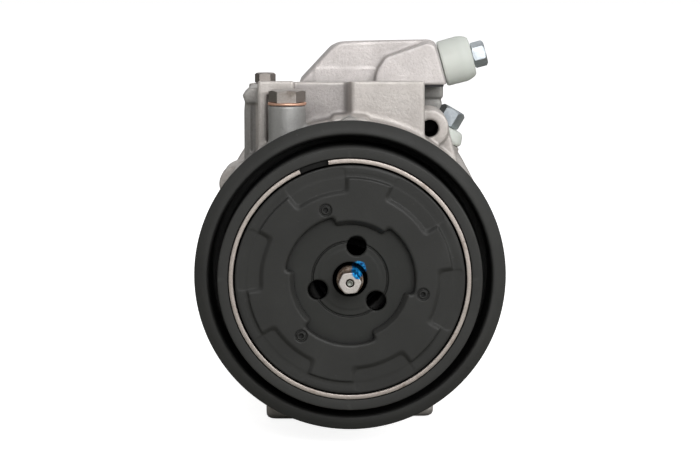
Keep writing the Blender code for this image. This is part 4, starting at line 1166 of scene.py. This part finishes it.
def floor_material():
    """White paper to the camera, with a soft shadow; darker to the object, which it barely lights."""
    paper = bpy.data.materials.new("studio_floor")
    paper.use_nodes = True
    nodes, links = paper.node_tree.nodes, paper.node_tree.links
    nodes.clear()
    glow = nodes.new("ShaderNodeEmission")
    glow.inputs["Strength"].default_value = FLOOR_GLOW
    white = nodes.new("ShaderNodeBsdfDiffuse")
    white.inputs["Color"].default_value = (0.8, 0.8, 0.8, 1)
    seen = nodes.new("ShaderNodeAddShader")
    links.new(glow.outputs[0], seen.inputs[0])
    links.new(white.outputs[0], seen.inputs[1])
    dim = nodes.new("ShaderNodeBsdfDiffuse")
    dim.inputs["Color"].default_value = (FLOOR_BOUNCE, FLOOR_BOUNCE, FLOOR_BOUNCE * 0.9, 1)
    end_tree(paper.node_tree, "ShaderNodeOutputMaterial", seen, dim)
    return paper


def area_light(name, place, size, power):
    """A rectangular light at a place, aimed at the object; metres and watts."""
    data = bpy.data.lights.new(name, "AREA")
    data.shape = "RECTANGLE"
    data.size, data.size_y = size
    data.energy = power
    obj = bpy.data.objects.new(name, data)
    obj.location = place
    aim = Vector(LIGHT_AIM) - Vector(place)
    obj.rotation_euler = aim.to_track_quat("-Z", "Y").to_euler()
    bpy.context.scene.collection.objects.link(obj)


def grey_ramp(nodes, links, value, stops):
    """Grey levels along a direction's coordinate, which runs from -1 to 1."""
    share = nodes.new("ShaderNodeMapRange")
    share.inputs["From Min"].default_value = -1
    links.new(value, share.inputs["Value"])
    ramp = nodes.new("ShaderNodeValToRGB")
    links.new(share.outputs["Result"], ramp.inputs["Fac"])
    elements = ramp.color_ramp.elements
    while len(elements) < len(stops):
        elements.new(0.5)
    for element, (position, level) in zip(elements, stops):
        element.position = position
        element.color = (level, level, level, 1)
    return ramp.outputs["Color"]


def make_world():
    """White behind the object; as light, dim below and at the far left and right."""
    world = bpy.data.worlds.new("studio")
    world.use_nodes = True
    nodes, links = world.node_tree.nodes, world.node_tree.links
    nodes.clear()
    direction = nodes.new("ShaderNodeTexCoord")
    split = nodes.new("ShaderNodeSeparateXYZ")
    links.new(direction.outputs["Generated"], split.inputs["Vector"])
    light = nodes.new("ShaderNodeBackground")
    links.new(grey_ramp(nodes, links, split.outputs["Z"], SKY_HEIGHTS), light.inputs["Color"])
    links.new(grey_ramp(nodes, links, split.outputs["X"], SKY_SIDES), light.inputs["Strength"])
    paper = nodes.new("ShaderNodeBackground")
    paper.inputs["Color"].default_value = (1, 1, 1, 1)
    end_tree(world.node_tree, "ShaderNodeOutputWorld", paper, light)
    bpy.context.scene.world = world


def make_lights():
    area_light("key", (0.3, -1.0, 0.5), (1.0, 0.6), KEY_POWER)
    area_light("left", (-1.1, -0.1, 0.35), (0.4, 0.9), LEFT_POWER)
    area_light("right", (1.1, -0.3, 0.45), (0.4, 0.9), RIGHT_POWER)
    area_light("back", (0, 1.1, 0.8), (1.4, 0.5), BACK_POWER)


def make_camera():
    """A long lens, a little above the shaft and looking seven degrees down."""
    data = bpy.data.cameras.new("camera")
    data.sensor_width = 36
    data.lens = CAMERA_LENS
    obj = bpy.data.objects.new("camera", data)
    tilt = math.radians(CAMERA_TILT)
    back = Vector((0, -math.cos(tilt), math.sin(tilt)))
    obj.location = Vector(CAMERA_AIM) + back * CAMERA_DISTANCE
    obj.rotation_euler = (math.pi / 2 - tilt, 0, 0)
    bpy.context.scene.collection.objects.link(obj)
    bpy.context.scene.camera = obj


def set_exposure():
    """Plain display colours, so that white paper stays white."""
    bpy.context.scene.view_settings.view_transform = "Standard"


SKY_HEIGHTS = ((0.3, 0.05), (0.5, 0.45), (1.0, 0.55))
SKY_SIDES = ((0.08, 0.05), (0.32, 0.8), (0.7, 1.0), (0.95, 0.35))
FLOOR_REACH = 6
FLOOR_GLOW = 0.85
FLOOR_BOUNCE = 0.3
LIGHT_AIM = (0, 0.08, 0)
KEY_POWER = 10
LEFT_POWER = 1.0
RIGHT_POWER = 2.5
BACK_POWER = 2
CAMERA_LENS = 126
CAMERA_DISTANCE = 0.95
CAMERA_TILT = 7
CAMERA_AIM = (0, 0.0142, 0.0177)


def main():
    make_front_housing()
    make_cylinder_block()
    make_rear_housing()
    make_manifold()
    make_cover_plate()
    make_drive_hub()
    make_pulley()
    make_snap_ring()
    make_damper_ring()
    make_shaft()
    make_through_bolts()
    make_caps()
    make_plugs()
    make_bearing()
    make_valves()
    make_plates()
    keep_nodes()
    make_stage()
    make_world()
    make_lights()
    make_camera()
    set_exposure()


main()
